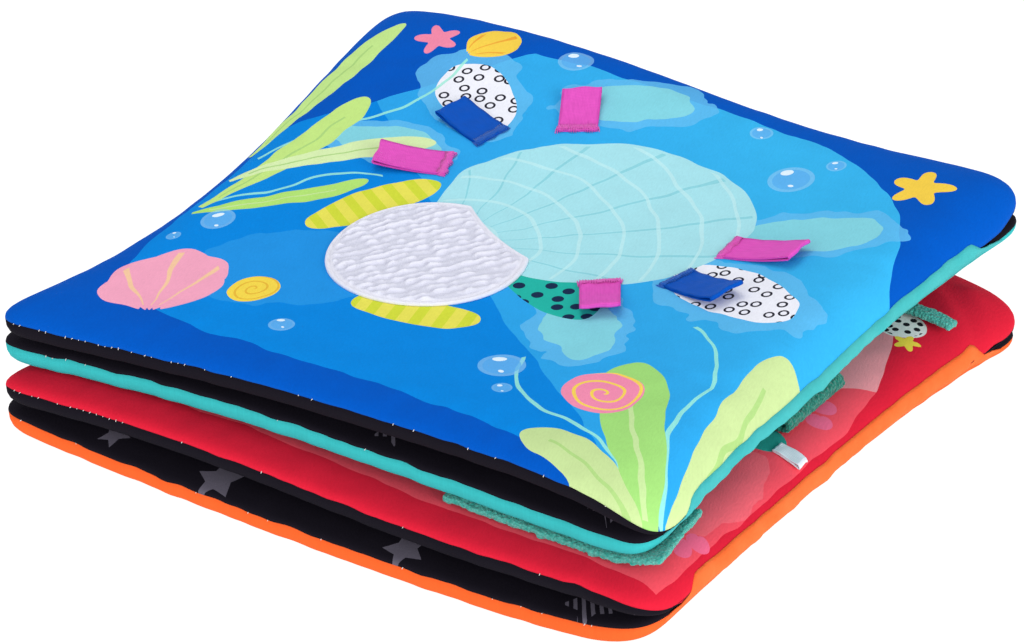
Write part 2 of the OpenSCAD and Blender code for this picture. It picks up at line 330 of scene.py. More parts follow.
class Shader:
    """One finish: a material with a Principled surface and helpers for its pattern."""

    def __init__(self, name: str, roughness: float = 0.9, sheen: float = 0.0) -> None:
        """Starts the material.

        Args:
            name: the material's name.
            roughness: roughness of its surface.
            sheen: weight of its soft cloth sheen.
        """
        self.material = bpy.data.materials.new(name)
        self.material.use_nodes = True
        self.tree = self.material.node_tree
        self.tree.nodes.clear()
        out = self.node("ShaderNodeOutputMaterial")
        self.surface = self.node(
            "ShaderNodeBsdfPrincipled",
            None,
            {"Roughness": roughness, "Sheen Weight": sheen, "Sheen Roughness": 0.5, "Specular IOR Level": 0.05},
        )
        self.plug(out.inputs["Surface"], self.surface.outputs[0])

    def plug(self, socket: Socket, value: object) -> None:
        """Sets a socket to a value, or links it."""
        if isinstance(value, Field):
            value = value.socket
        if isinstance(value, Socket):
            self.tree.links.new(value, socket)
        else:
            socket.default_value = value

    def node(self, kind: str, settings: dict | None = None, inputs: dict | None = None) -> bpy.types.Node:
        """Adds a node.

        Args:
            kind: the node's type.
            settings: its settings, set first; "stops" are a ramp's.
            inputs: values or links of its sockets, by name or number.

        Returns:
            The node.
        """
        node = self.tree.nodes.new(kind)
        for key, value in (settings or {}).items():
            if key == "stops":
                ramp = node.color_ramp.elements
                for k, (place, shade) in enumerate(value):
                    stop = ramp[k] if k < 2 else ramp.new(place)
                    stop.position, stop.color = place, shade
            else:
                setattr(node, key, value)
        for key, value in (inputs or {}).items():
            self.plug(node.inputs[key], value)
        return node

    def vector(self, operation: str, **inputs: object) -> Socket:
        """Adds a Vector Math node and gives its vector; inputs are a, b, c and Scale."""
        names = {"a": 0, "b": 1, "c": 2}
        values = {names.get(key, key): value for key, value in inputs.items()}
        return self.node("ShaderNodeVectorMath", {"operation": operation}, values).outputs[0]

    def mix(self, below: object, above: object, mask: object) -> Socket:
        """Lays one colour over another.

        Args:
            below: colour where the mask is 0.
            above: colour where the mask is 1.
            mask: the field between them.

        Returns:
            The mixed colour.
        """
        return self.node("ShaderNodeMix", {"data_type": "RGBA"}, {0: mask, 6: below, 7: above}).outputs[2]

    def page_point(self) -> Socket:
        """Place on the flat page in mm, from the page UV map."""
        uv = self.node("ShaderNodeUVMap", {"uv_map": "page"}).outputs[0]
        return self.vector("MULTIPLY_ADD", a=uv, b=(UV_SPAN, UV_SPAN, 0), c=(-UV_SPAN / 2, -UV_SPAN / 2, 0))

    def object_point(self) -> Socket:
        """Place on the object in mm."""
        return self.vector("SCALE", a=self.node("ShaderNodeTexCoord").outputs["Object"], Scale=1000.0)

    def local(self, point: object, centre: Pair, size: Pair = (1, 1), turn: float = 0) -> Socket:
        """Centres, turns and scales a pattern.

        Args:
            point: the place to read.
            centre: middle of the pattern.
            size: lengths that become 1 across and along it.
            turn: its turn, in degrees.

        Returns:
            The place on the pattern.
        """
        turned = (0, 0, math.radians(turn))
        place = {"Vector": point, "Location": (*centre, 0), "Rotation": turned, "Scale": (*size, 1)}
        return self.node("ShaderNodeMapping", {"vector_type": "TEXTURE"}, place).outputs[0]

    def length(self, vector: object) -> Field:
        """Length of a vector."""
        return Field(self, self.node("ShaderNodeVectorMath", {"operation": "LENGTH"}, {0: vector}).outputs["Value"])

    def parts(self, vector: object) -> tuple[Field, Field]:
        """First two parts of a vector."""
        split = self.node("ShaderNodeSeparateXYZ", None, {0: vector})
        return Field(self, split.outputs[0]), Field(self, split.outputs[1])

    def noise(self, point: object, scale: float, detail: float = 2, roughness: float = 0.5) -> Field:
        """Soft noise from 0 to 1."""
        inputs = {"Vector": point, "Scale": scale, "Detail": detail, "Roughness": roughness}
        return Field(self, self.node("ShaderNodeTexNoise", None, inputs).outputs["Fac"])

    def cells(self, point: object, scale: float, randomness: float = 1.0) -> bpy.types.Node:
        """Voronoi cells in a plane."""
        inputs = {"Vector": point, "Scale": scale, "Randomness": randomness}
        return self.node("ShaderNodeTexVoronoi", {"voronoi_dimensions": "2D"}, inputs)

    def oval(self, point: object, centre: Pair, size: Pair, turn: float = 0) -> Field:
        """Distance in an oval, 1 at its edge."""
        return self.length(self.local(point, centre, size, turn))

    def relief(self, height: object, distance: float, strength: float = 1.0) -> None:
        """Raises the surface by a field.

        Args:
            height: the field.
            distance: height of the field's 1, in metres.
            strength: share of the effect.
        """
        bump = self.node("ShaderNodeBump", None, {"Height": height, "Distance": distance, "Strength": strength})
        self.plug(self.surface.inputs["Normal"], bump.outputs[0])

    def paint(self, shade: object) -> None:
        """Sets the colour of the surface."""
        self.plug(self.surface.inputs["Base Color"], shade)


class BrushedCloth(Shader):
    """Short brushed polyester that the pages are made of."""

    def nap(self, point: Socket, shade: object) -> None:
        """Adds the brushed grain to the colour and the relief.

        Args:
            point: place on the page, in mm.
            shade: the printed colour.
        """
        strokes = self.noise(self.local(point, (0, 0), (0.55, 1.7), 12), 1.0, 2, 0.6)
        fuzz = self.noise(point, 0.09, 3, 0.55)
        tone = strokes * 0.16 + fuzz * 0.14 + 0.85
        self.paint(self.vector("SCALE", a=shade, Scale=tone))
        self.relief(strokes + self.noise(point, 1.9, 1) * 0.5, 0.00016, 0.7)


class Print(BrushedCloth):
    """A printed page cloth: flat fields of colour and simple shapes laid over each other."""

    def __init__(self, name: str, ground: str, wobble: float = 2.4) -> None:
        """Starts the print.

        Args:
            name: the material's name.
            ground: colour of the cloth.
            wobble: how far the hand-drawn edges stray, in mm.
        """
        super().__init__(name)
        self.point = self.page_point()
        stray = self.node("ShaderNodeTexNoise", None, {"Vector": self.point, "Scale": 0.06, "Detail": 1.0})
        strayed = self.vector("MULTIPLY_ADD", a=stray.outputs["Color"], b=(wobble * 2, wobble * 2, 0), c=self.point)
        self.drawn = self.vector("ADD", a=strayed, b=(-wobble, -wobble, 0))
        self.wave = self.noise(self.point, 0.085, 1.5) - 0.5
        self.shade: object = colour(ground)

    def lay(self, shade: str, mask: Field, cover: float = 1.0) -> None:
        """Prints a colour.

        Args:
            shade: the colour.
            mask: 1 where it is printed.
            cover: how well it covers.
        """
        self.shade = self.mix(self.shade, colour(shade), mask if cover == 1 else mask * cover)

    def blot(
        self, shade: str, centre: Pair, size: Pair, turn: float = 0, ripple: float = 0.0, cover: float = 1.0
    ) -> Field:
        """Prints an oval or a wavy blot.

        Args:
            shade: its colour.
            centre: its middle.
            size: its half width and half height.
            turn: its turn, in degrees.
            ripple: how wavy its edge is.
            cover: how well it covers.

        Returns:
            Distance in the oval, 1 at its edge.
        """
        away = self.oval(self.drawn, centre, size, turn)
        if ripple:
            away = away + self.wave * ripple
        self.lay(shade, away < 1.0, cover)
        return away

    def leaf(self, shade: str, vein: str, base: Pair, size: Pair, turn: float, bend: float) -> None:
        """Prints a kelp leaf with a vein.

        Args:
            shade: its colour.
            vein: colour of its vein.
            base: where it starts.
            size: its length and half width.
            turn: the way it grows, in degrees.
            bend: how far its tip bends aside.
        """
        along, aside = self.parts(self.local(self.drawn, base, (size[0], size[1]), turn))
        off = (aside - along * along * (bend / size[1])).size()
        rest = along.math("MAXIMUM", 1.0 - along * along * along, 0.0)
        width = rest.math("SQRT", rest) * (along * 1.1 + 0.14) * (along > 0.0)
        self.lay(shade, off < width)
        self.lay(vein, (off < 0.055) * (along < 0.84) * (along > 0.1), 0.8)

    def stalk(self, shade: str, base: Pair, size: Pair, turn: float, bend: float) -> None:
        """Prints a thin wavy stalk.

        Args:
            shade: its colour.
            base: where it starts.
            size: its length and its width.
            turn: the way it grows, in degrees.
            bend: how far it sways.
        """
        along, aside = self.parts(self.local(self.drawn, base, (size[0], 1), turn))
        off = (aside - (along * 7.0).sine() * bend * along).size()
        self.lay(shade, (off < size[1] * 0.5) * (along > 0.0) * (along < 1.0), 0.85)

    def star(self, shade: str, centre: Pair, reach: float, turn: float, depth: float = 0.24) -> None:
        """Prints a rounded five-pointed star."""
        spot = self.local(self.drawn, centre, (reach, reach), turn)
        across, up = self.parts(spot)
        points = (across.math("ARCTAN2", up, across) * 5.0).sine()
        self.lay(shade, self.length(spot) < points * depth + (1.0 - depth))

    def star_share(self, spot: Socket, turn: object) -> Field:
        """Distance in a straight-edged five-pointed star.

        Args:
            spot: place on the star, with its points at 1.
            turn: its turn, in radians.

        Returns:
            The distance, 1 at its edge.
        """
        across, up = self.parts(spot)
        share = ((across.math("ARCTAN2", up, across) + turn) * (5 / (2 * math.pi))).fraction() - 0.5
        angle = share.size() * (2 * math.pi / 5)
        return self.length(spot) * (angle.math("COSINE", angle) + angle.sine() * 2.1)

    def heart(self, shade: str, centre: Pair, reach: float, turn: float) -> None:
        """Prints a small rounded heart."""
        spot = self.local(self.drawn, centre, (reach, reach), turn)
        away = self.length(spot)
        self.lay(shade, away * away + self.parts(spot)[1] < away)

    def bubble(self, centre: Pair, reach: float) -> None:
        """Prints a bubble with a rim and two glints."""
        away = self.oval(self.point, centre, (reach, reach))
        self.lay("#8CCBF5", away < 1.0, 0.55)
        self.lay("#4FA9EE", away < 0.8, 0.6)
        self.blot("#E4F5FF", (centre[0] - reach * 0.4, centre[1] + reach * 0.42), (reach * 0.3, reach * 0.2), 35)
        self.blot("#E4F5FF", (centre[0] + reach * 0.35, centre[1] - reach * 0.45), (reach * 0.14, reach * 0.1))

    def shell(self, shade: str, line: str, centre: Pair, reach: float, turn: float, ribs: float) -> None:
        """Prints a fan shell with ribs.

        Args:
            shade: its colour.
            line: colour of its ribs.
            centre: its middle.
            reach: its half width.
            turn: its turn, in degrees.
            ribs: how closely the ribs stand.
        """
        spot = self.local(self.drawn, centre, (reach, reach), turn)
        across, up = self.parts(spot)
        fan = across.math("ARCTAN2", across, up + 1.15)
        edge = (fan * ribs).math("COSINE", fan * ribs).size() * 0.07 + 0.93
        away = self.length(spot)
        inside = away < edge
        self.lay(shade, inside)
        self.lay(line, (((fan * ribs).sine().size() < 0.2) * inside) * (away < 0.86))

    def snail(self, shade: str, line: str, centre: Pair, reach: float) -> None:
        """Prints a round spiral shell."""
        spot = self.local(self.drawn, centre, (reach, reach))
        across, up = self.parts(spot)
        away = self.length(spot)
        turn = across.math("ARCTAN2", up, across) / (2 * math.pi)
        self.lay(shade, away < 1.0)
        self.lay(line, ((away * 2.4 - turn).fraction() < 0.2) * (away < 1.0))

    def done(self) -> Material:
        """Closes the print with the cloth's nap.

        Returns:
            The material.
        """
        self.nap(self.point, self.shade)
        return self.material


def front_print() -> Material:
    """Sea print of the front cover, in blues with shells, kelp and bubbles."""
    p = Print("sea_print_cloth", "#0056BD")
    across, up = p.parts(p.local(p.drawn, (30, 0), (140, 92)))
    low = up.math("MINIMUM", up, 0.0) + across * 0.13
    high = up.math("MAXIMUM", up, low)
    block = across * across * across * across + high * high * high * high < 1.0
    across, up = p.parts(p.drawn)
    aside = across.math("MAXIMUM", across - 24.0, 0.0)
    rise = up.math("MAXIMUM", up, 0.0)
    wide = block * (aside * aside + rise * rise < 94.0**2) * (up - across * 1.2 < 152.0)
    p.lay("#0486DE", wide)
    lit = p.parts(p.local(p.drawn, (12, -29), (150, 150), 51.8))[0]
    p.lay("#2CA4E8", wide * (lit > 0.0))
    slow = lit * 1.6 - 0.1
    p.lay("#38B4EC", wide * lit.math("MAXIMUM", 0.0, slow.math("MINIMUM", slow, 1.0)))
    p.blot("#2E9CE6", (-50, -46), (34, 24), 30, 0.5, 0.55)
    fronds = (
        ((-12, 82), (25, 13), 25), ((-60, 65), (26, 16), -38), ((-70, 30), (26, 12), 12),
        ((75, 44), (28, 14), 26), ((76, 4), (31, 17), -12), ((44, -30), (25, 16), -48),
    )
    for centre, size, turn in fronds:
        p.blot("#62BCEE", centre, size, turn, 0.75, 0.8)
    for centre, size, turn in (fronds[0], fronds[2], fronds[3], fronds[5]):
        p.blot("#8AD8DE", centre, (size[0] * 0.78, size[1] * 0.72), turn, 0.6, 0.85)
    for centre, size, turn in (((-57, 63), (19, 11), -38), ((75, 5), (25, 12), -14)):
        away = p.blot("#F2F2FA", centre, size, turn)
        ring = Field(p, p.cells(p.point, 0.17, 0.75).outputs["Distance"])
        p.lay("#2A2834", ((ring - 0.235).size() < 0.062) * (away < 1.0))
    away = p.blot("#25B5A5", (22, -14), (23, 10), -24)
    p.lay("#182C4C", (Field(p, p.cells(p.point, 0.15, 0.6).outputs["Distance"]) < 0.27) * (away < 1.0))
    disc = p.blot("#A8E2EA", (11, 27), (49, 38.5), 14)
    across, up = p.parts(p.local(p.drawn, (-16, -6), (1, 1), -36))
    fan = across.math("ARCTAN2", across, up)
    inside = disc < 0.97
    p.lay("#7CCBD6", ((fan * 11.0).sine().size() < 0.1) * inside, 0.6)
    p.lay("#C6EEF0", (((p.length(p.local(p.drawn, (-16, -6))) * 0.085).fraction() < 0.1) * inside), 0.6)
    for centre, size, turn in (((-52, -2), (23, 9), 62), ((-2, -47), (20, 8), 14)):
        away = p.blot("#E9E25A", centre, size, turn)
        stripe = p.parts(p.local(p.point, centre, (1, 1), turn))[0]
        p.lay("#D3DC3E", ((stripe * 0.9).sine() > 0.1) * (away < 1.0))
    for base, size, turn, bend in (
        ((114, -97), (88, 1.3), 112, 9), ((110, -101), (84, 1.3), 150, -8), ((-106, 2), (84, 1.2), 62, 7),
        ((-104, -26), (60, 1.2), 44, -5),
    ):
        p.stalk("#9DEBD8", base, size, turn, bend)
    kelp = (
        ((116, -106), (78, 14.5), 129, -4), ((118, -106), (88, 10), 94, 3), ((114, -105), (50, 10), 156, 7),
        ((-106, -30), (80, 8.5), 72, 9), ((-108, -12), (72, 7), 50, -8), ((-112, 4), (84, 7), 86, -4),
        ((-106, -34), (60, 6), 34, 10),
    )
    shades = ("#A2DB79", "#C8DF9B", "#C4DC98", "#C6E884", "#DAF0B2", "#C6E98E", "#B4E374")
    for (base, size, turn, bend), shade in zip(kelp, shades):
        p.leaf(shade, "#CDE5A4" if shade < "#C0" else "#A8D27C", base, size, turn, bend)
    p.shell("#F5A6C0", "#F7C9A0", (-80, -70), 19, 28, 7.0)
    p.snail("#F8D94E", "#EBB93C", (-52, -62), 8)
    p.snail("#F58FB0", "#FBD65C", (73, -62), 12)
    p.star("#F9D14C", (91, 80), 10.5, 12)
    p.star("#F48AA8", (-86, 84), 8, 40)
    p.shell("#F9D24E", "#F2A93C", (-68, 88), 8.5, -30, 5.0)
    for centre, reach in (
        ((52, 70), 7), ((38, -62), 7), ((-93, -34), 6), ((-40, 92), 5.5), ((60, 82), 3),
        ((46, -74), 3), ((-30, -76), 4), ((-100, -48), 2.5), ((30, 88), 3.5),
    ):
        p.bubble(centre, reach)
    return p.done()


def red_print() -> Material:
    """Print of the red page: coral and pink fields with small hearts."""
    p = Print("red_print_cloth", "#DA2038", 1.6)
    across, up = p.parts(p.drawn)
    inland = (up + across * 0.03) > -92.5
    rise = up.math("MAXIMUM", up, 0.0)
    wide = across * across + rise * rise < 12540.0
    p.lay("#F4505F", wide * inland)
    p.lay("#F5989F", (p.oval(p.drawn, (72, 34), (46, 27), 20) < 1.0) * wide)
    p.lay("#F8707C", ((p.oval(p.drawn, (86, -58), (36, 22), 60) + p.wave * 0.4) < 1.0) * wide * inland, 0.6)
    p.blot("#2C9C92", (96, -17), (9, 6))
    for centre, turn in (((104, 3), 20), ((101, 9), 60), ((106, -78), 160), ((108, -68), 30), ((60, -60), 80)):
        p.heart("#F2688C", centre, 2.8, turn)
    away = p.blot("#F1E7E4", (96, 60), (8, 7))
    p.lay("#1F1D24", ((Field(p, p.cells(p.point, 0.3, 0.5).outputs["Distance"]) < 0.3)) * (away < 0.9))
    p.star("#F6D34A", (103, 53), 4, 10)
    return p.done()


def turquoise_print() -> Material:
    """Print of the turquoise page: soft water fields and bubbles."""
    p = Print("turquoise_cloth", "#38B4B6", 2.0)
    p.blot("#5CC8C6", (20, 8), (84, 70), 20, 0.4)
    p.blot("#2CA09F", (-50, -50), (46, 26), 30, 0.5)
    for centre, reach in (((-40, 40), 9), ((36, -38), 7), ((62, 46), 11)):
        p.bubble(centre, reach)
    return p.done()


def orange_print() -> Material:
    """Print of the back cover: warm fields with leaves and shells."""
    p = Print("orange_cloth", "#F7642C", 2.0)
    p.blot("#FB8648", (4, 0), (92, 76), 12, 0.35)
    p.blot("#FDA25C", (34, 16), (52, 44), -20, 0.4)
    for base, size, turn, bend in (
        ((-98, -88), (74, 12), 48, 10), ((-92, -94), (60, 9), 20, -6), ((96, 84), (70, 12), 226, 8),
    ):
        p.leaf("#F9C95A", "#FDE29A", base, size, turn, bend)
    p.shell("#F25C6C", "#F9A07A", (10, 4), 24, 15, 7.0)
    p.star("#FBD65C", (-44, 36), 11, 20)
    p.star("#E8405A", (60, -44), 9, 50)
    return p.done()


def lining_print(name: str, marks: tuple[tuple[float, float, float, float, bool], ...] = ()) -> Material:
    """Near-black lining cloth with scattered grey stars, plain or hatched.

    Args:
        name: the material's name.
        marks: stars near its open edge: place, size, turn and whether hatched.

    Returns:
        The material.
    """
    p = Print(name, "#17141C", 1.2)
    cells = p.cells(p.drawn, 1 / 33, 0.75)
    spot = p.vector("SUBTRACT", a=p.drawn, b=cells.outputs["Position"])
    pick, other = p.parts(cells.outputs["Color"])
    across, up = p.parts(p.drawn)
    stripes = (across * 2.2 + up * 1.5).sine() > 0.1
    inland = up > -78.0 if marks else up > -200.0
    hatch = stripes * (pick > 0.55) + (pick < 0.55)
    star = p.star_share(spot, pick * 6.3) < other * 3.0 + 6.0
    p.lay("#5C5763", star * hatch * (other > 0.12) * inland)
    for x, y, reach, turn, hatched in marks:
        mark = p.star_share(p.local(p.drawn, (x, y), (reach, reach)), turn) < 1.0
        p.lay("#625D6A", mark * stripes if hatched else mark)
    return p.done()


def plain_cloth(name: str, shade: str, second: str) -> Material:
    """Brushed cloth of one colour with a faint second tone.

    Args:
        name: the material's name.
        shade: its colour.
        second: the tone that it drifts to.

    Returns:
        The material.
    """
    cloth = BrushedCloth(name)
    point = cloth.object_point()
    cloth.nap(point, cloth.mix(colour(shade), colour(second), cloth.noise(point, 0.12, 2)))
    return cloth.material


def ribbon_satin(name: str, shade: str, fold: str) -> Material:
    """Ribbon with fine ribs across it and a woven edge.

    Args:
        name: the material's name.
        shade: its colour.
        fold: its darker tone, used for random streaks, for painted shade between the ribs and for the woven edge.

    Returns:
        The material.
    """
    satin = Shader(name, 0.5)
    point = satin.page_point()
    along, across = satin.parts(point)
    ribs = (along * 11.0).sine() * 0.5 + 0.5
    edge = across.size() > 5.3
    # darker tone: random streaks, painted shade with the fine ribs, and the woven edge
    tone = satin.noise(satin.local(point, (0, 0), (4, 0.8)), 1.0, 2) * 0.7 + ribs * 0.2 + edge * 0.25
    satin.paint(satin.mix(colour(shade), colour(fold), tone))
    satin.relief(ribs * 0.6 + (across * 14.0).sine() * 0.25 + edge * 0.8, 0.0001, 0.8)
    return satin.material


def terry(name: str, shade: str, light: str) -> Material:
    """Looped terry cloth, with painted shade deep in the pile between the loops and a painted lighter tone on the loop
    tops, mixed with random tone.

    Args:
        name: the material's name.
        shade: colour deep in the pile, painted shade.
        light: colour on the loop tops, painted lighter than the depths.

    Returns:
        The material.
    """
    pile = Shader(name, 0.95, 0.25)
    point = pile.object_point()
    loops = pile.node("ShaderNodeTexVoronoi", None, {"Vector": point, "Scale": 1.05, "Randomness": 0.9})
    crest = 1.0 - Field(pile, loops.outputs["Distance"])
    # painted shade: darker between the loops, lighter on their tops, with random tone from noise
    tone = crest * 0.75 + pile.noise(point, 0.5, 2) * 0.5 - 0.25
    pile.paint(pile.mix(colour(shade), colour(light), tone))
    pile.relief(crest + pile.noise(point, 2.2, 1) * 0.4, 0.0007, 0.9)
    return pile.material


def crinkle_cloth() -> Material:
    """White crinkled cloth of the patch, with its fine weave and painted shade: greyer in the valleys of its ridges,
    lighter on their crests.
    """
    cloth = Shader("white_crinkle_cloth", 0.7)
    point = cloth.page_point()
    across, up = cloth.parts(point)
    weave = (across * 9.0).sine() * (up * 9.0).sine()
    # painted shade and painted highlight: the patch's ridge heights set the colour, greyer in the valleys, lighter on
    # the crests, with random tone from noise
    crest = Field(cloth, cloth.node("ShaderNodeAttribute", {"attribute_name": "crest"}).outputs["Fac"])
    tone = crest * 0.85 + cloth.noise(point, 0.5, 2) * 0.3 - 0.05
    cloth.paint(cloth.mix(colour("#D6D6E6"), colour("#EEEDF7"), tone))
    cloth.relief(weave * 0.3 + cloth.noise(point, 1.2, 2), 0.00018, 0.8)
    return cloth.material


def sewing_thread(name: str, shade: str) -> Material:
    """Twisted sewing thread."""
    thread = Shader(name, 0.6, 0.3)
    point = thread.object_point()
    twist = thread.noise(point, 3.0, 1)
    thread.paint(thread.mix(colour(shade), (0.02, 0.02, 0.03, 1), twist * 0.3))
    thread.relief(twist, 0.00008)
    return thread.material


def fibre_filling() -> Material:
    """Loose white fibre inside the pages."""
    fibre = Shader("white_fibre_filling", 1.0, 0.1)
    point = fibre.object_point()
    strands = fibre.noise(fibre.local(point, (0, 0), (0.6, 3.0), 30), 0.8, 3)
    fibre.paint(fibre.mix(colour("#D9D6D2"), colour("#F4F3F0"), strands))
    fibre.relief(strands, 0.0006)
    return fibre.material


@dataclass
class PadGrid:
    """Grid of points over one face of a page, closer together along its rolled edge."""

    roll_steps: int
    cell: float
    xs: Array = field(init=False)
    ys: Array = field(init=False)
    x: Array = field(init=False)
    y: Array = field(init=False)
    share: Array = field(init=False)
    right: Array = field(init=False)
    corner: Array = field(init=False)
    run: Array = field(init=False)

    def __post_init__(self) -> None:
        """Works out the flat places, the share of the roll and the run along the seam."""
        self.xs, ax = self._line(HALF_W)
        self.ys, ay = self._line(HALF_L)
        x, y = np.meshgrid(self.xs, self.ys)
        a, b = np.meshgrid(ax, ay)
        self.share = np.maximum(a, b)
        turned = a * a / (a * a + b * b + 1e-9)
        self.right = np.where(x > 0, turned, 0)
        self.corner = 4 * turned * (1 - turned) * (b > 0)
        whole = (a**4 + b**4) ** (1 / 4)
        pull = np.where(whole > 0, self.share / np.maximum(whole, 1e-9), 1)
        self.x = np.where(a > 0, np.sign(x) * (HALF_W - ROLL + ROLL * a * pull), x)
        self.y = np.where(b > 0, np.sign(y) * (HALF_L - ROLL + ROLL * b * pull), y)
        turn = np.arctan2(b, a + 1e-9) / (math.pi / 2)
        quarter = HALF_L + HALF_W - 2 * ROLL + CORNER_RUN
        run = np.minimum(np.abs(y), HALF_L - ROLL) + CORNER_RUN * np.where(self.share > 0, turn, 0)
        run = run + np.where(b > 0, HALF_W - ROLL - np.minimum(np.abs(x), HALF_W - ROLL), 0)
        run = np.where(x < 0, 2 * quarter - run, run)
        self.run = np.where(y < 0, 4 * quarter - run, run) / (4 * quarter)

    def _line(self, half: float) -> tuple[Array, Array]:
        """Steps of one direction.

        Args:
            half: half the page's size in it.

        Returns:
            Places, and the share of the roll at each.
        """
        share = np.sin(np.linspace(0, math.pi / 2, self.roll_steps + 1))[1:]
        inner = half - ROLL
        middle = np.linspace(-inner, inner, max(2, round(2 * inner / self.cell)) + 1)
        edge = inner + ROLL * share
        return np.concatenate([-edge[::-1], middle, edge]), np.concatenate([share[::-1], 0 * middle, share])

    def seam_wave(self, seed: float) -> Array:
        """Small gathers along the seam, from -1 to 1.

        Args:
            seed: makes each page's own.

        Returns:
            The wave at each point.
        """
        angle = 2 * math.pi * self.run
        total = sum(
            share * np.sin(count * angle + seed * (k + 1.3) + 2.1 * k)
            for k, (count, share) in enumerate(((29, 0.34), (43, 0.3), (61, 0.26), (83, 0.2), (107, 0.14)))
        )
        swell = 0.6 + 0.4 * np.sin(5 * angle + seed) * np.sin(3 * angle + 2 * seed)
        return total * swell


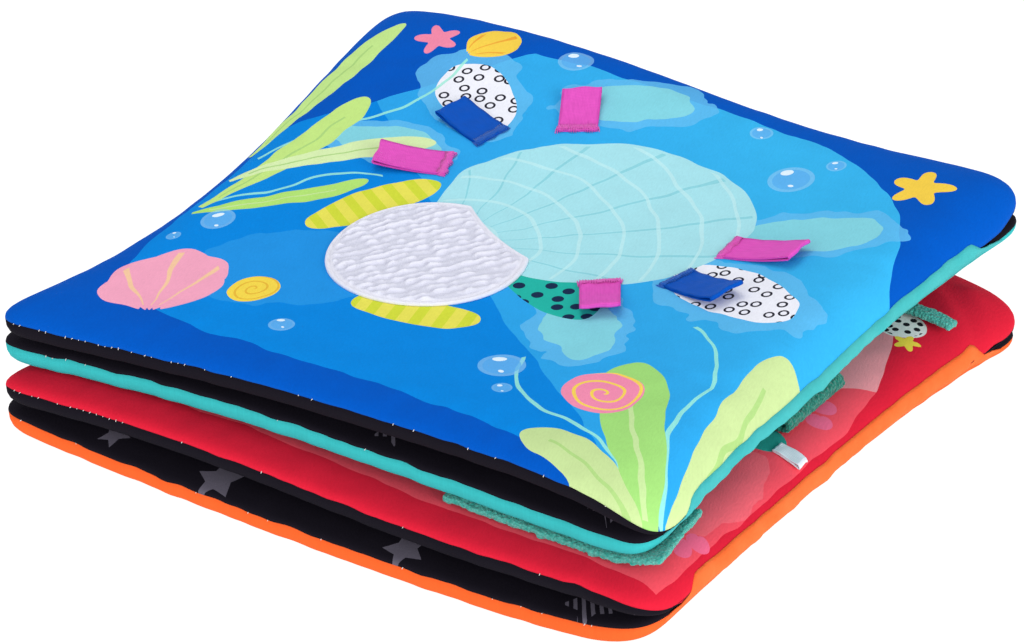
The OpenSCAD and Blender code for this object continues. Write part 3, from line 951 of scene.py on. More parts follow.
@dataclass
class PagePad:
    """The padded pages: two cloths each, sewn together along their seams."""

    grid: PadGrid = field(default_factory=lambda: PadGrid(12, 1.9))
    cloth: float = 0.45
    fill: float = 0.6
    frames: int = 20
    soft: dict[str, object] = field(default_factory=lambda: {
        "quality": 5, "mass": 0.15, "tension_stiffness": 12, "compression_stiffness": 12, "shear_stiffness": 6,
        "bending_stiffness": 0.12, "use_pressure": True, "uniform_pressure_force": 4,
        "vertex_group_shrink": "seam", "shrink_min": -0.015, "shrink_max": 0.1,
    })
    moves: dict[Face, Array] = field(default_factory=dict)

    def settle(self) -> None:
        """Blows up a plain pad with gathered seams by cloth simulation, and keeps how its two faces move."""
        grid = PadGrid(6, 4.2)
        rows, columns = grid.x.shape
        height = HALF_T * np.sqrt(1 - grid.share**2)
        top = np.stack([grid.x, grid.y, height * 0.9], axis=-1).reshape(-1, 3)
        bottom = top * (1, 1, -1)
        rim = (grid.share > 0.999).ravel()
        number = np.arange(rows * columns)
        lower = np.where(rim, number, rows * columns + number)
        faces = grid_faces(rows, columns)
        pad = mesh_piece("settling_pad", np.concatenate([top, bottom]), np.concatenate([faces, lower[faces][:, ::-1]]))
        seam = pad.vertex_groups.new(name="seam")
        weight = np.tile(grid.share.ravel() ** 3, 2)
        for k, w in enumerate(weight):
            if w > 0.01:
                seam.add([k], float(w), "REPLACE")
        cloth = pad.modifiers.new("Cloth", "CLOTH")
        for key, value in self.soft.items():
            setattr(cloth.settings, key, value)
        cloth.settings.effector_weights.gravity = 0
        cloth.point_cache.frame_start, cloth.point_cache.frame_end = 1, self.frames
        for step in range(1, self.frames + 1):
            bpy.context.scene.frame_set(step)
        settled = pad.evaluated_get(bpy.context.evaluated_depsgraph_get()).to_mesh()
        points = np.zeros(len(settled.vertices) * 3, np.float32)
        settled.vertices.foreach_get("co", points)
        points = points.reshape(-1, 3) / MM
        bpy.context.scene.frame_set(1)
        bpy.data.objects.remove(pad)
        for face, now, was in ((Face.UP, points[: rows * columns], top), (Face.DOWN, points[lower], bottom)):
            moved = (now - was).reshape(rows, columns, 3)
            spread = np.array(MOST_MOVED)
            moved = spread * np.tanh(moved / spread)
            self.moves[face] = self._resample(grid, moved)
        log.info("settled pad: %.2f mm most", float(np.abs(self.moves[Face.UP]).max()))

    def _resample(self, coarse: PadGrid, moved: Array) -> Array:
        """Carries moves from the coarse grid to the fine one.

        Args:
            coarse: the grid that was simulated.
            moved: its moves.

        Returns:
            Moves of the fine grid.
        """
        at_x = np.interp(self.grid.xs, coarse.xs, np.arange(len(coarse.xs)))
        at_y = np.interp(self.grid.ys, coarse.ys, np.arange(len(coarse.ys)))
        low_x = np.minimum(at_x.astype(int), len(coarse.xs) - 2)
        low_y = np.minimum(at_y.astype(int), len(coarse.ys) - 2)
        fx = smooth(at_x - low_x)[None, :, None]
        fy = smooth(at_y - low_y)[:, None, None]
        rows, nexts = moved[low_y], moved[low_y + 1]
        first = rows[:, low_x] * (1 - fx) + rows[:, low_x + 1] * fx
        second = nexts[:, low_x] * (1 - fx) + nexts[:, low_x + 1] * fx
        return first * (1 - fy) + second * fy

    def skin(self, page: PageShape, face: Face, lift: float) -> tuple[Array, Array]:
        """Shapes one cloth of a page.

        Args:
            page: how the page lies.
            face: which cloth.
            lift: how far its gathers and swells may rise, in mm.

        Returns:
            Points of the cloth, and their flat places.
        """
        g = self.grid
        side = face.value
        wave = g.seam_wave(page.order * 2.7)
        near_seam = smooth((g.share - 0.05) / 0.6) * (1 - g.share**6)
        own = g.seam_wave(page.order * 1.9 + side * 4.1)
        own_lift = own * near_seam * min(0.55, lift)
        round_edge = HALF_T * np.sqrt(1 - g.share**2) ** 0.92
        blunt_edge = HALF_T * (1 - g.share ** (16 if side < 0 else 3.2)) ** (0.4 if side < 0 else 0.5)
        drop = SEAM_DROPS.get(page.name, 0.0) * g.right
        swell = np.exp(-(((g.y / HALF_L + 0.16) / 0.36) ** 2)) * g.right
        if side < 0:
            rounded = g.right - (0.8 * swell if page is TURQUOISE else 0)
            height = (round_edge * rounded + blunt_edge * (1 - rounded)) * (1 - drop / HALF_T) + drop
            height = height + own_lift * (1 - g.share)
        else:
            height = (blunt_edge * g.right + round_edge * (1 - g.right)) * (1 + drop / HALF_T) - drop + own_lift
        shift = np.zeros((*g.x.shape, 3))
        if self.moves:
            moved = self.moves[face]
            if page.order % 2:
                moved = moved[:, ::-1] * (-1, 1, 1)
            if page.order > 1:
                moved = moved[::-1] * (1, -1, 1)
            level = moved[..., 2] * side
            shift[..., :2] = moved[..., :2] * PLANE_SHARE
            height = height + np.clip(level - np.median(level), -SINK, lift) * (1 - g.share**6)
        height = height * side
        if page in (TURQUOISE, BACK):
            height = height + SEAM_LIFT * g.share**10 * (1 - g.right)
        seam = g.share**8 * wave
        outwards = swell * g.share**10 * (FRONT_SWELL if page is FRONT else 0.0)
        x = g.x + shift[..., 0] - np.sign(g.x) * seam * 0.3 + outwards
        y = g.y + shift[..., 1] - np.sign(g.y) * seam * 0.3
        corner = 4 * g.right * (1 - g.right) if page is FRONT else 0 * g.right
        corner = np.where(g.y > 0, corner * 1.3, corner * 0.6) * g.share**4
        left = np.where(g.x < 0, g.corner, 0) * g.share**4
        x = x - corner + 0.5 * left
        y = y - corner * 0.3 * np.sign(g.y) - 0.3 * left * np.sign(g.y)
        x = np.clip(x, -HALF_W - STRAY, HALF_W + RIGHT_STRAY)
        y = np.clip(y, -HALF_L - STRAY, HALF_L + STRAY)
        floor = 0.0 if side < 0 else 0.6
        points = page.place(x, y, height + seam * 0.4 + self._creases(page, face, x, y), floor)
        return points.reshape(-1, 3), np.stack([g.x, g.y], axis=-1).reshape(-1, 2)

    def _creases(self, page: PageShape, face: Face, x: Array, y: Array) -> Array:
        """Creases pressed into the cloth.

        Args:
            page: how the page lies.
            face: which cloth.
            x: flat places across.
            y: flat places along.

        Returns:
            Height of the creases.
        """
        lines = {
            ("front", Face.UP): (((74, -38), (102, -45), 0.45, 0.9), ((-112, 60), (-84, 74), 0.4, 3.0)),
            ("red", Face.UP): (
                ((92, -80), (118, -88), 0.6, 0.9), ((97, 86), (117, 73), 0.5, 1.8),
                ((92, 84), (113, 70), -0.9, 2.6), ((100, 92), (117, 80), -0.8, 2.8),
            ),
        }.get((page.name, face), ())
        total = np.zeros_like(x)
        for start, end, depth, width in lines:
            dx, dy = end[0] - start[0], end[1] - start[1]
            t = np.clip(((x - start[0]) * dx + (y - start[1]) * dy) / (dx * dx + dy * dy), 0, 1)
            away = np.hypot(x - start[0] - t * dx, y - start[1] - t * dy)
            total -= depth * np.exp(-((away / width) ** 2))
        return total

    def cloth_piece(
        self, node: str, page: PageShape, face: Face, body: str, material: Material, slot: str
    ) -> None:
        """Makes one cloth of a page in place of its plain solid.

        Args:
            node: the solid's node.
            page: how the page lies.
            face: which cloth.
            body: the body that it rides on.
            material: its finish.
            slot: not used.
        """
        lift = FRONT_LIFT if (page, face) == (FRONT, Face.UP) else PAGE_LIFT
        points, flat = self.skin(page, face, lift)
        rows, columns = self.grid.x.shape
        faces = grid_faces(rows, columns)
        piece = mesh_piece("sewn_" + node, points, faces if face is Face.UP else faces[:, ::-1], flat)
        finish_with(piece, "SOLIDIFY", thickness=self.cloth * MM, offset=-1, use_even_offset=False)
        dress(piece, material)
        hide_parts(node)
        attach(piece, body)
        log.info("%s: %d faces", piece.name, len(piece.data.polygons))


@dataclass
class SeamStitches:
    """White thread showing between the two cloths of a page along its open seams."""

    spacing: float = 2.3
    margin: float = 6.0
    length: float = 0.8
    radius: float = 0.12
    shown: float = 0.7
    shown_elsewhere: float = 0.12

    def model(self) -> tuple[Array, Array]:
        """Models one stitch.

        Returns:
            Its points round its middle, in mm, and its faces.
        """
        bpy.ops.object.select_all(action="DESELECT")
        bpy.ops.mesh.primitive_cylinder_add(vertices=6, radius=self.radius * MM, depth=self.length * MM)
        stitch = bpy.context.active_object
        bpy.ops.object.mode_set(mode="EDIT")
        bpy.ops.mesh.select_all(action="SELECT")
        bpy.ops.mesh.bevel(offset=self.radius * 0.45 * MM, segments=1, affect="EDGES")
        bpy.ops.mesh.quads_convert_to_tris()
        bpy.ops.object.mode_set(mode="OBJECT")
        points = np.array([v.co for v in stitch.data.vertices]) / MM
        faces = np.array([list(p.vertices) for p in stitch.data.polygons])
        bpy.data.objects.remove(stitch)
        return points, faces

    def seam(self, page: PageShape, pad: PagePad, body: str, material: Material, left_share: float) -> None:
        """Copies the stitch along a page's near and left seams.

        Args:
            page: how the page lies.
            pad: the padded page, for its seam line.
            body: the body that they ride on.
            material: the thread.
            left_share: how much of the near seam shows its thread.
        """
        one, faces = self.model()
        noise.seed_set(page.order + 5)
        points, _ = pad.skin(page, Face.UP, PAGE_LIFT)
        rows, columns = pad.grid.x.shape
        points = points.reshape(rows, columns, 3)
        stitches = []
        for number, line in enumerate((points[0], points[:, 0])):
            steps = np.linalg.norm(np.diff(line, axis=0), axis=1)
            run = np.concatenate([[0], np.cumsum(steps)])
            for k, s in enumerate(np.arange(self.margin, run[-1] - self.margin, self.spacing)):
                if noise.random() > (self.shown if s / run[-1] < left_share else self.shown_elsewhere):
                    continue
                middle = np.array([np.interp(s, run, line[:, a]) for a in range(3)])
                ahead = np.array([np.interp(s + 1, run, line[:, a]) for a in range(3)]) - middle
                out = np.array([0, -1, 0] if number == 0 else [-1, 0, 0])
                up = np.array([0, 0, 1.0])
                lean = ahead / np.linalg.norm(ahead) * (0.5 + 0.4 * math.sin(k * 2.3)) + up * 0.8
                axis = lean / np.linalg.norm(lean)
                first = np.cross(axis, out) / np.linalg.norm(np.cross(axis, out))
                second = np.cross(axis, first)
                turn = np.stack([first, second, axis])
                scale = 0.7 + 0.35 * math.sin(k * 1.7 + number)
                stitches.append((one * (1, 1, scale)) @ turn + middle + out * 0.12)
        every = np.concatenate([faces + len(one) * k for k in range(len(stitches))])
        piece = mesh_piece(f"{page.name}_seam_stitches", np.concatenate(stitches), every)
        dress(piece, material)
        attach(piece, body)
        log.info("%s: %d stitches", piece.name, len(stitches))


@dataclass
class Folds:
    """Cloth strips that join neighbouring pages along their folded sides."""

    reach: float = 97.0
    far_reach: float = 86.0
    left_reach: float = 80.0
    thick: float = 0.4
    taper: float = 18.0
    least: float = 0.04

    def _rim(self, pad: PagePad, page: PageShape, face: Face, columns: tuple[int, ...]) -> list[Array]:
        """Lines along a page's side.

        Args:
            pad: the padded pages.
            page: how the page lies.
            face: which cloth.
            columns: columns of the cloth's points.

        Returns:
            The points of each.
        """
        points = pad.skin(page, face, PAGE_LIFT)[0].reshape(*pad.grid.x.shape, 3)
        return [points[:, column] for column in columns]

    def _slide(self, path: Array, ease: Array) -> Array:
        """Draws a strip's first rows towards its last one where the strip ends.

        Args:
            path: the strip's rows of points.
            ease: share of the path that is left at each point of a row.

        Returns:
            The rows, spread over that share.
        """
        last = len(path) - 1
        at = last - np.linspace(last, 0, last + 1)[:, None] * ease[None, :]
        k = np.minimum(at.astype(int), last - 1)
        part = (at - k)[..., None]
        column = np.arange(len(ease))
        return path[k, column] * (1 - part) + path[k + 1, column] * part

    def strip(
        self, pad: PagePad, name: str, node: str, upper: PageShape, lower: PageShape, side: int, swell: float,
        material: Material, bodies: tuple[str, str] | None,
    ) -> None:
        """Makes one strip from seam to seam.

        Args:
            pad: the padded pages.
            name: the piece's name.
            node: the solid that it replaces.
            upper: the page over the fold.
            lower: the page under it.
            side: 1 on the right, -1 on the left.
            swell: how far it rounds out, in mm.
            material: its finish.
            bodies: the bodies under and over the fold; where given, the strip is left in its world place, attached to
                no body.
        """
        columns = (-4, -3, -2, -1) if side > 0 else (3, 2, 1, 0)
        above = self._rim(pad, upper, Face.UP, columns)
        low, under = self._rim(pad, lower, Face.DOWN, columns[:1:-1])
        seam = above[-1]
        ys = seam[:, 1]
        reach = np.where(ys > 0, self.far_reach, self.reach) if side > 0 else self.left_reach
        keep = np.abs(ys) < reach
        ease = self.least + (1 - self.least) * smooth((reach - np.abs(ys)) / self.taper)
        out = np.array([side, 0, 0])
        start = 1 if upper is FRONT else 0
        rows = [line + out * 0.22 + (0, 0, 0.1) for line in above[start:-1]]
        rows.append(seam + out * 0.3)
        for t in np.linspace(0, 1, 11)[1:-1]:
            ripple = 0.16 * np.sin(ys * 0.9 + 5 * t) + 0.1 * np.sin(ys * 0.37 + t)
            bulged = (math.sin(math.pi * t) * swell * ease + ripple * ease + 0.3)[:, None]
            rows.append(seam * (1 - t) + low * t + out * bulged)
        rows += [low + out * 0.3, under + out * 0.1 - (0, 0, 0.15)]
        points = self._slide(np.array(rows), ease)[:, keep]
        faces = grid_faces(*points.shape[:2])
        flat = np.stack(np.meshgrid(ys[keep], np.linspace(0, 12, len(rows))), axis=-1).reshape(-1, 2)
        piece = mesh_piece(name, points.reshape(-1, 3), faces if side < 0 else faces[:, ::-1], flat)
        finish_with(piece, "SOLIDIFY", thickness=self.thick * MM, offset=-1)
        dress(piece, material)
        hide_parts(node)
        if bodies:
            level = (low + seam)[keep] / 2
            lean = np.array([0, -np.polyfit(level[:, 1], level[:, 2], 1)[0], 1])
            heights = float((low[keep] @ lean).max()), float((seam[keep] @ lean).min())
            if heights[1] < heights[0] + 1:
                heights = sum(heights) / 2 - 0.5, sum(heights) / 2 + 0.5
            log.info("%s bends between %.1f and %.1f mm", name, *heights)
            middle = level.mean(axis=0)
            ends = [tuple((middle + lean * (h - middle @ lean) / (lean @ lean)) * MM) for h in heights]
            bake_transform(piece)
        else:
            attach(piece, "pages")
        log.info("%s: %d faces", name, len(piece.data.polygons))


class Ground:
    """The upper cloth of a page, for what is sewn to it."""

    def __init__(self, pad: PagePad, page: PageShape, lift: float) -> None:
        """Works out how the cloth swells over the page's middle layer.

        Args:
            pad: the padded pages.
            page: how the page lies.
            lift: how far the cloth's gathers and swells may rise, in mm.
        """
        self.grid, self.page = pad.grid, page
        points, _ = pad.skin(page, Face.UP, lift)
        level = page.place(pad.grid.x, pad.grid.y, 0 * pad.grid.x)[..., 2]
        self.swell = points.reshape(*pad.grid.x.shape, 3)[..., 2] - level

    def at(self, x: Array, y: Array, h: Array) -> Array:
        """Places points at a height over the cloth.

        Args:
            x: flat places across.
            y: flat places along.
            h: heights over the cloth.

        Returns:
            Points.
        """
        g = self.grid
        ix = np.clip(np.interp(x, g.xs, np.arange(len(g.xs))), 0, len(g.xs) - 1.001)
        iy = np.clip(np.interp(y, g.ys, np.arange(len(g.ys))), 0, len(g.ys) - 1.001)
        jx, jy = ix.astype(int), iy.astype(int)
        fx, fy = ix - jx, iy - jy
        over = (
            self.swell[jy, jx] * (1 - fx) * (1 - fy) + self.swell[jy, jx + 1] * fx * (1 - fy)
            + self.swell[jy + 1, jx] * (1 - fx) * fy + self.swell[jy + 1, jx + 1] * fx * fy
        )
        return self.page.place(x, y, over + h)


@dataclass
class RibbonLoops:
    """Folded ribbon loops sewn to the front cover."""

    width: float = 12.0
    thick: float = 0.32
    fold: float = 0.6
    thread_radius: float = 0.17
    tags: tuple[tuple[str, float, float, float, float, float], ...] = (
        ("left_ribbon", -43.5, 28.5, 24.5, 200, 1.5),
        ("far_left_ribbon", -40, 47, 21.5, 164, 1.0),
        ("far_ribbon", -19, 61.5, 18.5, 119, 1.5),
        ("far_right_ribbon", 56, 28, 24.5, 5, 2.5),
        ("right_ribbon", 52, 7, 24, -17, 3),
        ("near_ribbon", 33, -4, 21.5, -56, 2.5),
    )

    def loop(self, ground: Ground, tag: tuple, width: float, number: int, satin: Material, slot: str) -> Piece:
        """Makes one folded ribbon.

        Args:
            ground: the cloth that it is sewn to.
            tag: the ribbon's node, sewn place, length, direction and lift.
            width: its width.
            number: its place in the row, which gives it its own curl.
            satin: its finish.
            slot: not used.

        Returns:
            The piece.
        """
        node, x0, y0, length, way, lift = tag
        c, s = math.cos(math.radians(way)), math.sin(math.radians(way))
        out = np.linspace(0, 1, 22)
        turn = np.linspace(0.3, math.pi - 0.3, 6)
        bend = 0.5 - 0.5 * np.cos(turn)
        reach = length - self.fold
        along = np.concatenate([out * reach, reach + self.fold * np.sin(turn), out[::-1] * reach])
        gap = 0.4 + 0.7 * out**2
        rise_out = lift * out**2.2 + 0.2
        rise = np.concatenate([rise_out, lift + 0.2 + 1.1 * bend, (rise_out + gap)[::-1]])
        layer = np.concatenate([0 * out, bend, 0 * out + 1])
        a, b = np.meshgrid(along, np.linspace(-width / 2, width / 2, 15), indexing="ij")
        t = np.clip(a / length, 0, 1)
        v = 2 * b / width
        curl = 0.5 * math.sin(number * 1.9)
        r = rise[:, None] + t**2 * (0.8 * curl * v + 0.5 * v**2 * math.cos(number))
        r = r + 0.14 * np.sin(a * 0.9 + number) * np.sin(b * 0.5 + number * 2) * layer[:, None]
        r = r + 0.1 * np.sin(b * 3.1 + number) * np.exp(-a / 4)
        a = a + 0.25 * np.sin(b * 0.8 + number) * t
        points = ground.at(x0 + a * c - b * s, y0 + a * s + b * c, r)
        run = np.cumsum(np.concatenate([[0], np.hypot(np.diff(along), np.diff(rise))]))
        flat = np.stack([run[:, None] + 0 * b, b], axis=-1)
        piece = mesh_piece(
            "sewn_" + node, points.reshape(-1, 3), grid_faces(*a.shape)[:, ::-1], flat.reshape(-1, 2)
        )
        finish_with(piece, "SOLIDIFY", thickness=self.thick * MM, offset=0)
        dress(piece, satin)
        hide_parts(node)
        return piece

    def zigzag(self, ground: Ground, tag: tuple, number: int, thread: Material) -> None:
        """Sews two zigzags over a ribbon's sewn end.

        Args:
            ground: the cloth that it is sewn to.
            tag: the ribbon's node, sewn place, length, direction and lift.
            number: its place in the row.
            thread: the stitching's finish.
        """
        node, x0, y0, _, way, _ = tag
        c, s = math.cos(math.radians(way)), math.sin(math.radians(way))
        line = bpy.data.curves.new(node + "_zigzag", "CURVE")
        line.dimensions = "3D"
        line.bevel_depth = self.thread_radius * MM
        line.bevel_resolution = 1
        line.use_fill_caps = True
        for row, (teeth, near, far) in enumerate(((19, -0.5, 2.6), (16, 0.3, 2.2))):
            k = np.arange(2 * teeth + 1)
            steps = np.arange(0, 2 * teeth + 0.01, 1 / 3)
            swing = np.where(k % 2 == 0, near, far) + 0.35 * np.sin(k * 2.7 + number + row)
            a = np.interp(steps, k, swing)
            b = (steps / (2 * teeth) - 0.5) * (self.width + 1.2)
            on = smooth((self.width / 2 + 0.3 - np.abs(b)) / 0.6) * smooth((a + 0.5) / 0.6)
            points = ground.at(x0 + a * c - b * s, y0 + a * s + b * c, 0.2 + 0.75 * on + 0.12 * row)
            spline = line.splines.new("POLY")
            spline.points.add(len(points) - 1)
            for place, point in zip(spline.points, points):
                place.co = (*(point * MM), 1)
        piece = bpy.data.objects.new(node + "_zigzag", line)
        show(piece)
        choose(piece)
        bpy.ops.object.convert(target="MESH")
        piece = bpy.context.active_object
        bpy.ops.object.shade_smooth()
        dress(piece, thread)
        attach(piece, "front_cover")

    def build(self, ground: Ground, finishes: dict[str, tuple[Material, Material]]) -> None:
        """Makes every ribbon of the front cover with its stitching.

        Args:
            ground: the front cloth.
            finishes: satin and thread of each slot.
        """
        for number, tag in enumerate(self.tags):
            slot = "blue_ribbon" if tag[0] in ("far_left_ribbon", "right_ribbon") else "magenta_ribbon"
            satin, thread = finishes[slot]
            piece = self.loop(ground, tag, self.width, number, satin, slot)
            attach(piece, "front_cover")
            self.zigzag(ground, tag, number, thread)
        log.info("ribbons: %d", len(self.tags))


@dataclass
class CrinklePatch:
    """White crinkled patch sewn to the front cover, with a smooth rim."""

    middle: Pair = (-19, -18)
    radius: float = 30.5
    bite: Pair = (49.5, 98.5)
    bite_radius: float = 87.0
    rim: float = 1.0
    height: float = 0.95
    thick: float = 0.35
    way: float = math.radians(58)
    row: float = 3.0

    def edge(self, angle: Array) -> Array:
        """Radius of the patch towards an angle, with the round bite out of its circle."""
        reach = np.cos(angle) * self.bite[0] + np.sin(angle) * self.bite[1]
        clear = self.bite[0] ** 2 + self.bite[1] ** 2 - self.bite_radius**2
        under = reach * reach - clear
        bitten = np.where((under > 0) & (reach > 0), reach - np.sqrt(np.maximum(under, 0)), 1e3)
        return np.minimum(self.radius, bitten)

    def build(self, ground: Ground, cloth: Material) -> None:
        """Models the patch.

        Args:
            ground: the front cloth.
            cloth: the patch's finish.
        """
        turns = 420
        angle = np.linspace(0, 2 * math.pi, turns, endpoint=False)
        edge = self.edge(angle)
        depth = np.concatenate([[0, 0.12, 0.35, 0.7, 1.1, 1.5, 1.9], np.arange(2.4, 29.8, 0.3)])
        points, flats, crest_shades = [], [], []
        for d in depth:
            r = edge - d if d < 2.4 else (edge - 2.4) * (1 - (d - 2.4) / (depth[-1] - 2.4))
            x = self.middle[0] + r * np.cos(angle)
            y = self.middle[1] + r * np.sin(angle)
            rim = self.height * math.sqrt(max(0, 1 - (1 - min(d, self.rim) / self.rim) ** 2))
            dip = -0.5 * math.exp(-(((d - 1.65) / 0.4) ** 2))
            inner = float(smooth(np.array((d - 1.9) / 1.0)))
            relief = self.crinkle(x, y)
            h = 0.1 + rim + dip + (relief * self.height - 0.1) * inner
            points.append(ground.at(x, y, h))
            flats.append(np.stack([x, y], axis=-1))
            # ridge heights kept for the cloth's painted shade; the smooth rim is painted nearly as light as a crest
            crest_shades.append(relief * inner + 0.9 * (1 - inner))
        rows = len(points)
        at = np.arange(rows * turns).reshape(rows, turns)
        nxt = np.roll(at, -1, axis=1)
        faces = np.stack([at[:-1], nxt[:-1], nxt[1:], at[1:]], axis=-1).reshape(-1, 4)
        flat = np.concatenate(flats)
        piece = mesh_piece("sewn_crinkle_patch", np.concatenate(points), faces, flat)
        # the heights go to the cloth as an attribute that sets its painted shade and highlight
        crest = piece.data.attributes.new("crest", "FLOAT", "POINT")
        crest.data.foreach_set("value", np.concatenate(crest_shades).astype(np.float32))
        weld(piece, 0.00004)
        finish_with(piece, "SOLIDIFY", thickness=self.thick * MM, offset=-1)
        dress(piece, cloth)
        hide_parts("textured_patch")
        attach(piece, "front_cover")
        log.info("%s: %d faces", piece.name, len(piece.data.polygons))

    def crinkle(self, x: Array, y: Array) -> Array:
        """Rows of short wavy ridges.

        Args:
            x: flat places across.
            y: flat places along.

        Returns:
            Their height, from 0 to 1.
        """
        c, s = math.cos(self.way), math.sin(self.way)
        height = []
        for a, b in zip(x * c + y * s, y * c - x * s):
            row = b / self.row + 0.42 * noise.noise(Vector((a * 0.14, b * 0.1, 3.0)))
            row += 0.2 * noise.noise(Vector((a * 0.4, b * 0.3, 8.0)))
            number = math.floor(row)
            ridge = math.sin(math.pi * (row - number)) ** 2.2
            run = noise.noise(Vector((a * 0.36 + number * 3.7, number * 5.1, 0.5)))
            height.append(ridge * min(1.0, max(0.2, 0.62 + 1.2 * run)))
        return np.array(height)


class TerryPieces:
    """Terry flap, loop and tab at the right side of the pages."""

    def soften(self, node: str, body: str, material: Material, pile: float, cell: float) -> None:
        """Turns a plain solid into soft pile cloth of the same shape.

        Args:
            node: the solid's node.
            body: the body that it rides on.
            material: its finish.
            pile: height of the pile, in mm.
            cell: size of its cells, in mm.
        """
        piece = bpy.data.objects.new("soft_" + node, frame["nodes"][node].data.copy())
        show(piece)
        weld(piece, 0.00001)
        finish_with(piece, "REMESH", mode="VOXEL", voxel_size=cell * MM)
        finish_with(piece, "SMOOTH", factor=0.5, iterations=4)
        finish_with(piece, "SUBSURF", levels=1, render_levels=1)
        mesh = piece.data
        co = np.zeros(len(mesh.vertices) * 3)
        no = np.zeros(len(mesh.vertices) * 3)
        mesh.vertices.foreach_get("co", co)
        mesh.vertices.foreach_get("normal", no)
        co, no = co.reshape(-1, 3), no.reshape(-1, 3)
        raised = [noise.noise(Vector(p * 900.0)) + 0.5 * noise.noise(Vector(p * 2100.0)) for p in co]
        co = co + no * (np.array(raised)[:, None] * pile * MM)
        mesh.vertices.foreach_set("co", co.ravel())
        mesh.polygons.foreach_set("use_smooth", np.ones(len(mesh.polygons), bool))
        mesh.update()
        dress(piece, material)
        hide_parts(node)
        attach(piece, body)
        log.info("%s: %d faces", piece.name, len(mesh.polygons))

    def build(self, bodies: dict[str, str], deep: Material, light: Material) -> None:
        """Makes the three terry pieces.

        Args:
            bodies: body of each node.
            deep: finish of the loop.
            light: finish of the flap and the tab.
        """
        for node, material, pile, cell in (
            ("terry_flap", light, 0.3, 0.9), ("terry_loop", deep, 0.3, 0.55), ("terry_tab", light, 0.25, 0.7),
        ):
            self.soften(node, bodies[node], material, pile, cell)


@dataclass
class Studio:
    """Camera, lamps, world and floor."""

    azimuth: float = 34.6
    elevation: float = 31.0
    roll: float = -0.7
    lens: float = 182.8
    distance: float = 1.5204
    aim: Pair = (-1.42, 19.9)

    def camera(self) -> None:
        """Sets the camera at the photograph's angle."""
        a, e, r = (math.radians(v) for v in (self.azimuth, self.elevation, self.roll))
        back = Vector((math.sin(a) * math.cos(e), -math.cos(a) * math.cos(e), math.sin(e)))
        right = Vector((math.cos(a), math.sin(a), 0))
        up = back.cross(right)
        side = right * math.cos(r) + up * math.sin(r)
        top = up * math.cos(r) - right * math.sin(r)
        data = bpy.data.cameras.new("camera")
        data.lens = self.lens
        data.sensor_width = 36
        camera = bpy.data.objects.new("camera", data)
        show(camera)
        camera.rotation_euler = Matrix((side, top, back)).transposed().to_euler()
        camera.location = side * (self.aim[0] * MM) + top * (self.aim[1] * MM) + back * self.distance
        bpy.context.scene.camera = camera

    def lamp(self, name: str, place: Three, size: float, power: float) -> None:
        """Adds a soft square lamp that looks at the book.

        Args:
            name: its name.
            place: where it hangs, in metres.
            size: its side, in metres.
            power: its power, in watts.
        """
        data = bpy.data.lights.new(name, "AREA")
        data.size, data.energy = size, power
        lamp = bpy.data.objects.new(name, data)
        show(lamp)
        lamp.location = place
        lamp.rotation_euler = (Vector((0, 0, 0.03)) - Vector(place)).to_track_quat("-Z", "Y").to_euler()

    def build(self) -> None:
        """Lights the book on a pale floor."""
        self.camera()
        self.lamp("key_lamp", (-0.5, 0.35, 1.1), 0.8, 4.8)
        self.lamp("front_lamp", (-0.1, -1.3, 0.45), 1.0, 6.7)
        self.lamp("side_lamp", (1.35, -0.35, 0.42), 1.0, 14.0)
        world = bpy.data.worlds.new("studio")
        bpy.context.scene.world = world
        world.use_nodes = True
        tree = world.node_tree
        tree.nodes.clear()
        out, mix, soft, white, rays, both, three = (
            tree.nodes.new("ShaderNode" + kind)
            for kind in ("OutputWorld", "MixShader", "Background", "Background", "LightPath", "Math", "Math")
        )
        both.operation = three.operation = "MAXIMUM"
        for node, shade, strength in ((soft, (0.93, 0.96, 1.0, 1), 0.53), (white, (1, 1, 1, 1), 1.0)):
            node.inputs["Color"].default_value = shade
            node.inputs["Strength"].default_value = strength
        for start, end in (
            (rays.outputs["Is Camera Ray"], both.inputs[0]), (rays.outputs["Is Glossy Ray"], both.inputs[1]),
            (both.outputs[0], three.inputs[0]), (rays.outputs["Is Transmission Ray"], three.inputs[1]),
            (three.outputs[0], mix.inputs[0]), (soft.outputs[0], mix.inputs[1]), (white.outputs[0], mix.inputs[2]),
            (mix.outputs[0], out.inputs[0]),
        ):
            tree.links.new(start, end)
        bpy.ops.object.select_all(action="DESELECT")
        bpy.ops.mesh.primitive_plane_add(size=8, location=(0, 0, -0.0002))
        floor = bpy.context.active_object
        floor.name = "paper_floor"
        paper = Shader("floor_paper")
        paper.paint(colour("#808080"))
        paper.plug(paper.surface.inputs["Emission Color"], colour("#FFFFFF"))
        paper.surface.inputs["Emission Strength"].default_value = 0.95
        floor.data.materials.append(paper.material)
        bpy.context.scene.view_settings.view_transform = "Standard"


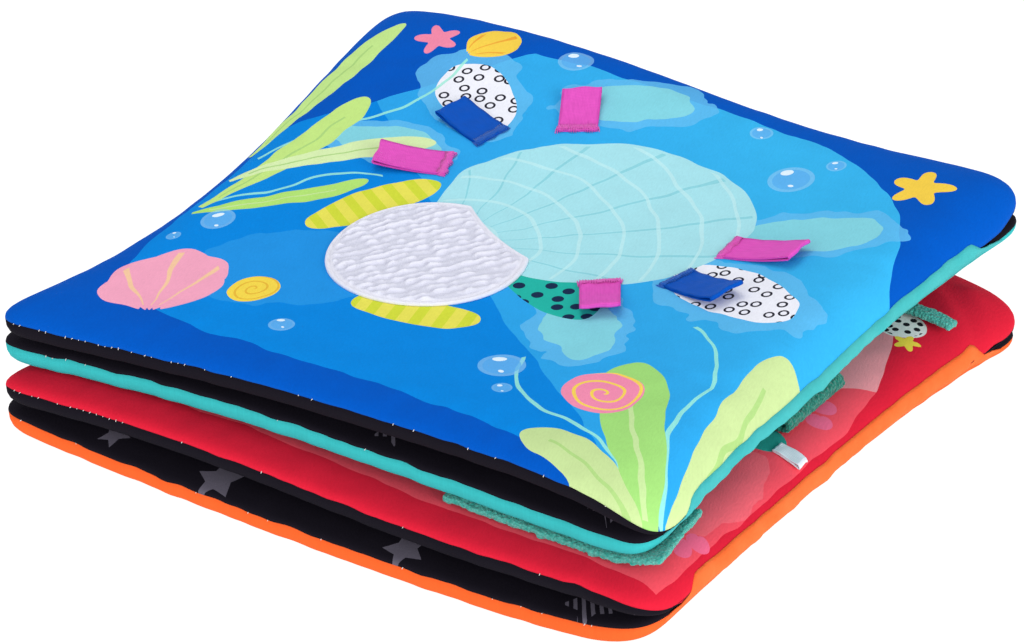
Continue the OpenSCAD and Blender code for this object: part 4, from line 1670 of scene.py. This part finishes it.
class ClothBook:
    """The whole book."""

    def __init__(self) -> None:
        """Reads which body each node rides on, and starts the pad and the ribbons."""
        bodies = frame["record"]["behaviour"]["bodies"]
        self.body = {node: body for body, nodes in bodies.items() for node in nodes}
        self.pad = PagePad()
        self.ribbons = RibbonLoops()

    def build(self) -> None:
        """Builds every piece in order."""
        lining = lining_print("black_lining_cloth")
        turquoise_lining = lining_print(
            "hatched_lining_cloth", ((22, -93, 7, 0.4, True), (-62, -94, 5, 1.1, False), (97, -93, 8, 2.0, True))
        )
        back_lining = lining_print(
            "starred_lining_cloth",
            (
                (-74, -96, 5, 0.5, False), (-35, -97, 7.5, 1.3, False), (31, -97, 7, 2.2, False),
                (92, -96, 9, 0.9, True),
            ),
        )
        pages = (
            ("blue_cover_cloth", FRONT, Face.UP, front_print(), "blue_print_cloth"),
            ("front_cover_lining", FRONT, Face.DOWN, lining, "black_lining_cloth"),
            ("turquoise_page_lining", TURQUOISE, Face.UP, turquoise_lining, "black_lining_cloth"),
            ("turquoise_page_cloth", TURQUOISE, Face.DOWN, turquoise_print(), "turquoise_cloth"),
            ("red_page_cloth", RED, Face.UP, red_print(), "red_print_cloth"),
            ("red_page_lining", RED, Face.DOWN, lining, "black_lining_cloth"),
            ("back_cover_lining", BACK, Face.UP, back_lining, "black_lining_cloth"),
            ("orange_cover_cloth", BACK, Face.DOWN, orange_print(), "orange_cloth"),
        )
        self.pad.settle()
        for node, page, face, material, slot in pages:
            self.pad.cloth_piece(node, page, face, self.body[node], material, slot)
        thread = sewing_thread("white_thread", "#F2EFEA")
        for page, share in ((FRONT, 0.33), (TURQUOISE, 0.03), (RED, 0.2), (BACK, 0.05)):
            body = {FRONT: "front_cover", BACK: "back_cover"}.get(page, "pages")
            SeamStitches().seam(page, self.pad, body, thread, share)
        for tone, node, upper, lower, side, swell, shade, second, slot, bodies in (
            ("turquoise", "front_fold", FRONT, TURQUOISE, 1, 0.8, "#38AAAD", "#52B8B8", "turquoise_cloth",
             ("pages", "front_cover")),
            ("black", "middle_fold", TURQUOISE, RED, -1, 2.2, "#17141C", "#24212B", "black_lining_cloth", None),
            ("orange", "back_fold", RED, BACK, 1, 0.6, "#F7642C", "#FB7C44", "orange_cloth",
             ("pages", "back_cover")),
        ):
            cloth = plain_cloth(tone + "_welt_cloth", shade, second)
            Folds().strip(self.pad, tone + "_welt", node, upper, lower, side, swell, cloth, bodies)
        front = Ground(self.pad, FRONT, FRONT_LIFT)
        self.ribbons.build(front, {
            f"{name}_ribbon": (ribbon_satin(f"{name}_satin", shade, fold), sewing_thread(f"{name}_thread", stitch))
            for name, shade, fold, stitch in (
                ("magenta", "#F25ECC", "#D046AC", "#F060C8"), ("blue", "#0058C6", "#0047A4", "#0E62C6"),
            )
        })
        CrinklePatch().build(front, crinkle_cloth())
        tag = ("white_tab", 102.5, -18, 9, 0, 0.9)
        satin = ribbon_satin("white_satin", "#F2F2F8", "#D4D6E4")
        tab = self.ribbons.loop(Ground(self.pad, RED, PAGE_LIFT), tag, 5, 3, satin, "white_satin")
        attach(tab, "pages")
        TerryPieces().build(
            self.body, terry("deep_terry", "#0B5E50", "#3C9F8C"), terry("light_terry", "#2A978A", "#72CBBE")
        )
        fibre = fibre_filling()
        for node in ("front_cover_wadding", "turquoise_page_wadding", "red_page_wadding", "back_cover_wadding"):
            wadding = frame["nodes"][node]
            wadding.data.materials.clear()
            wadding.data.materials.append(fibre)
            log.info("%s: fibre filling", node)


def main() -> None:
    """Builds the studio and the book."""
    logging.basicConfig(level=logging.INFO, format="%(message)s")
    Studio().build()
    ClothBook().build()


if __name__ == "__main__":
    main()
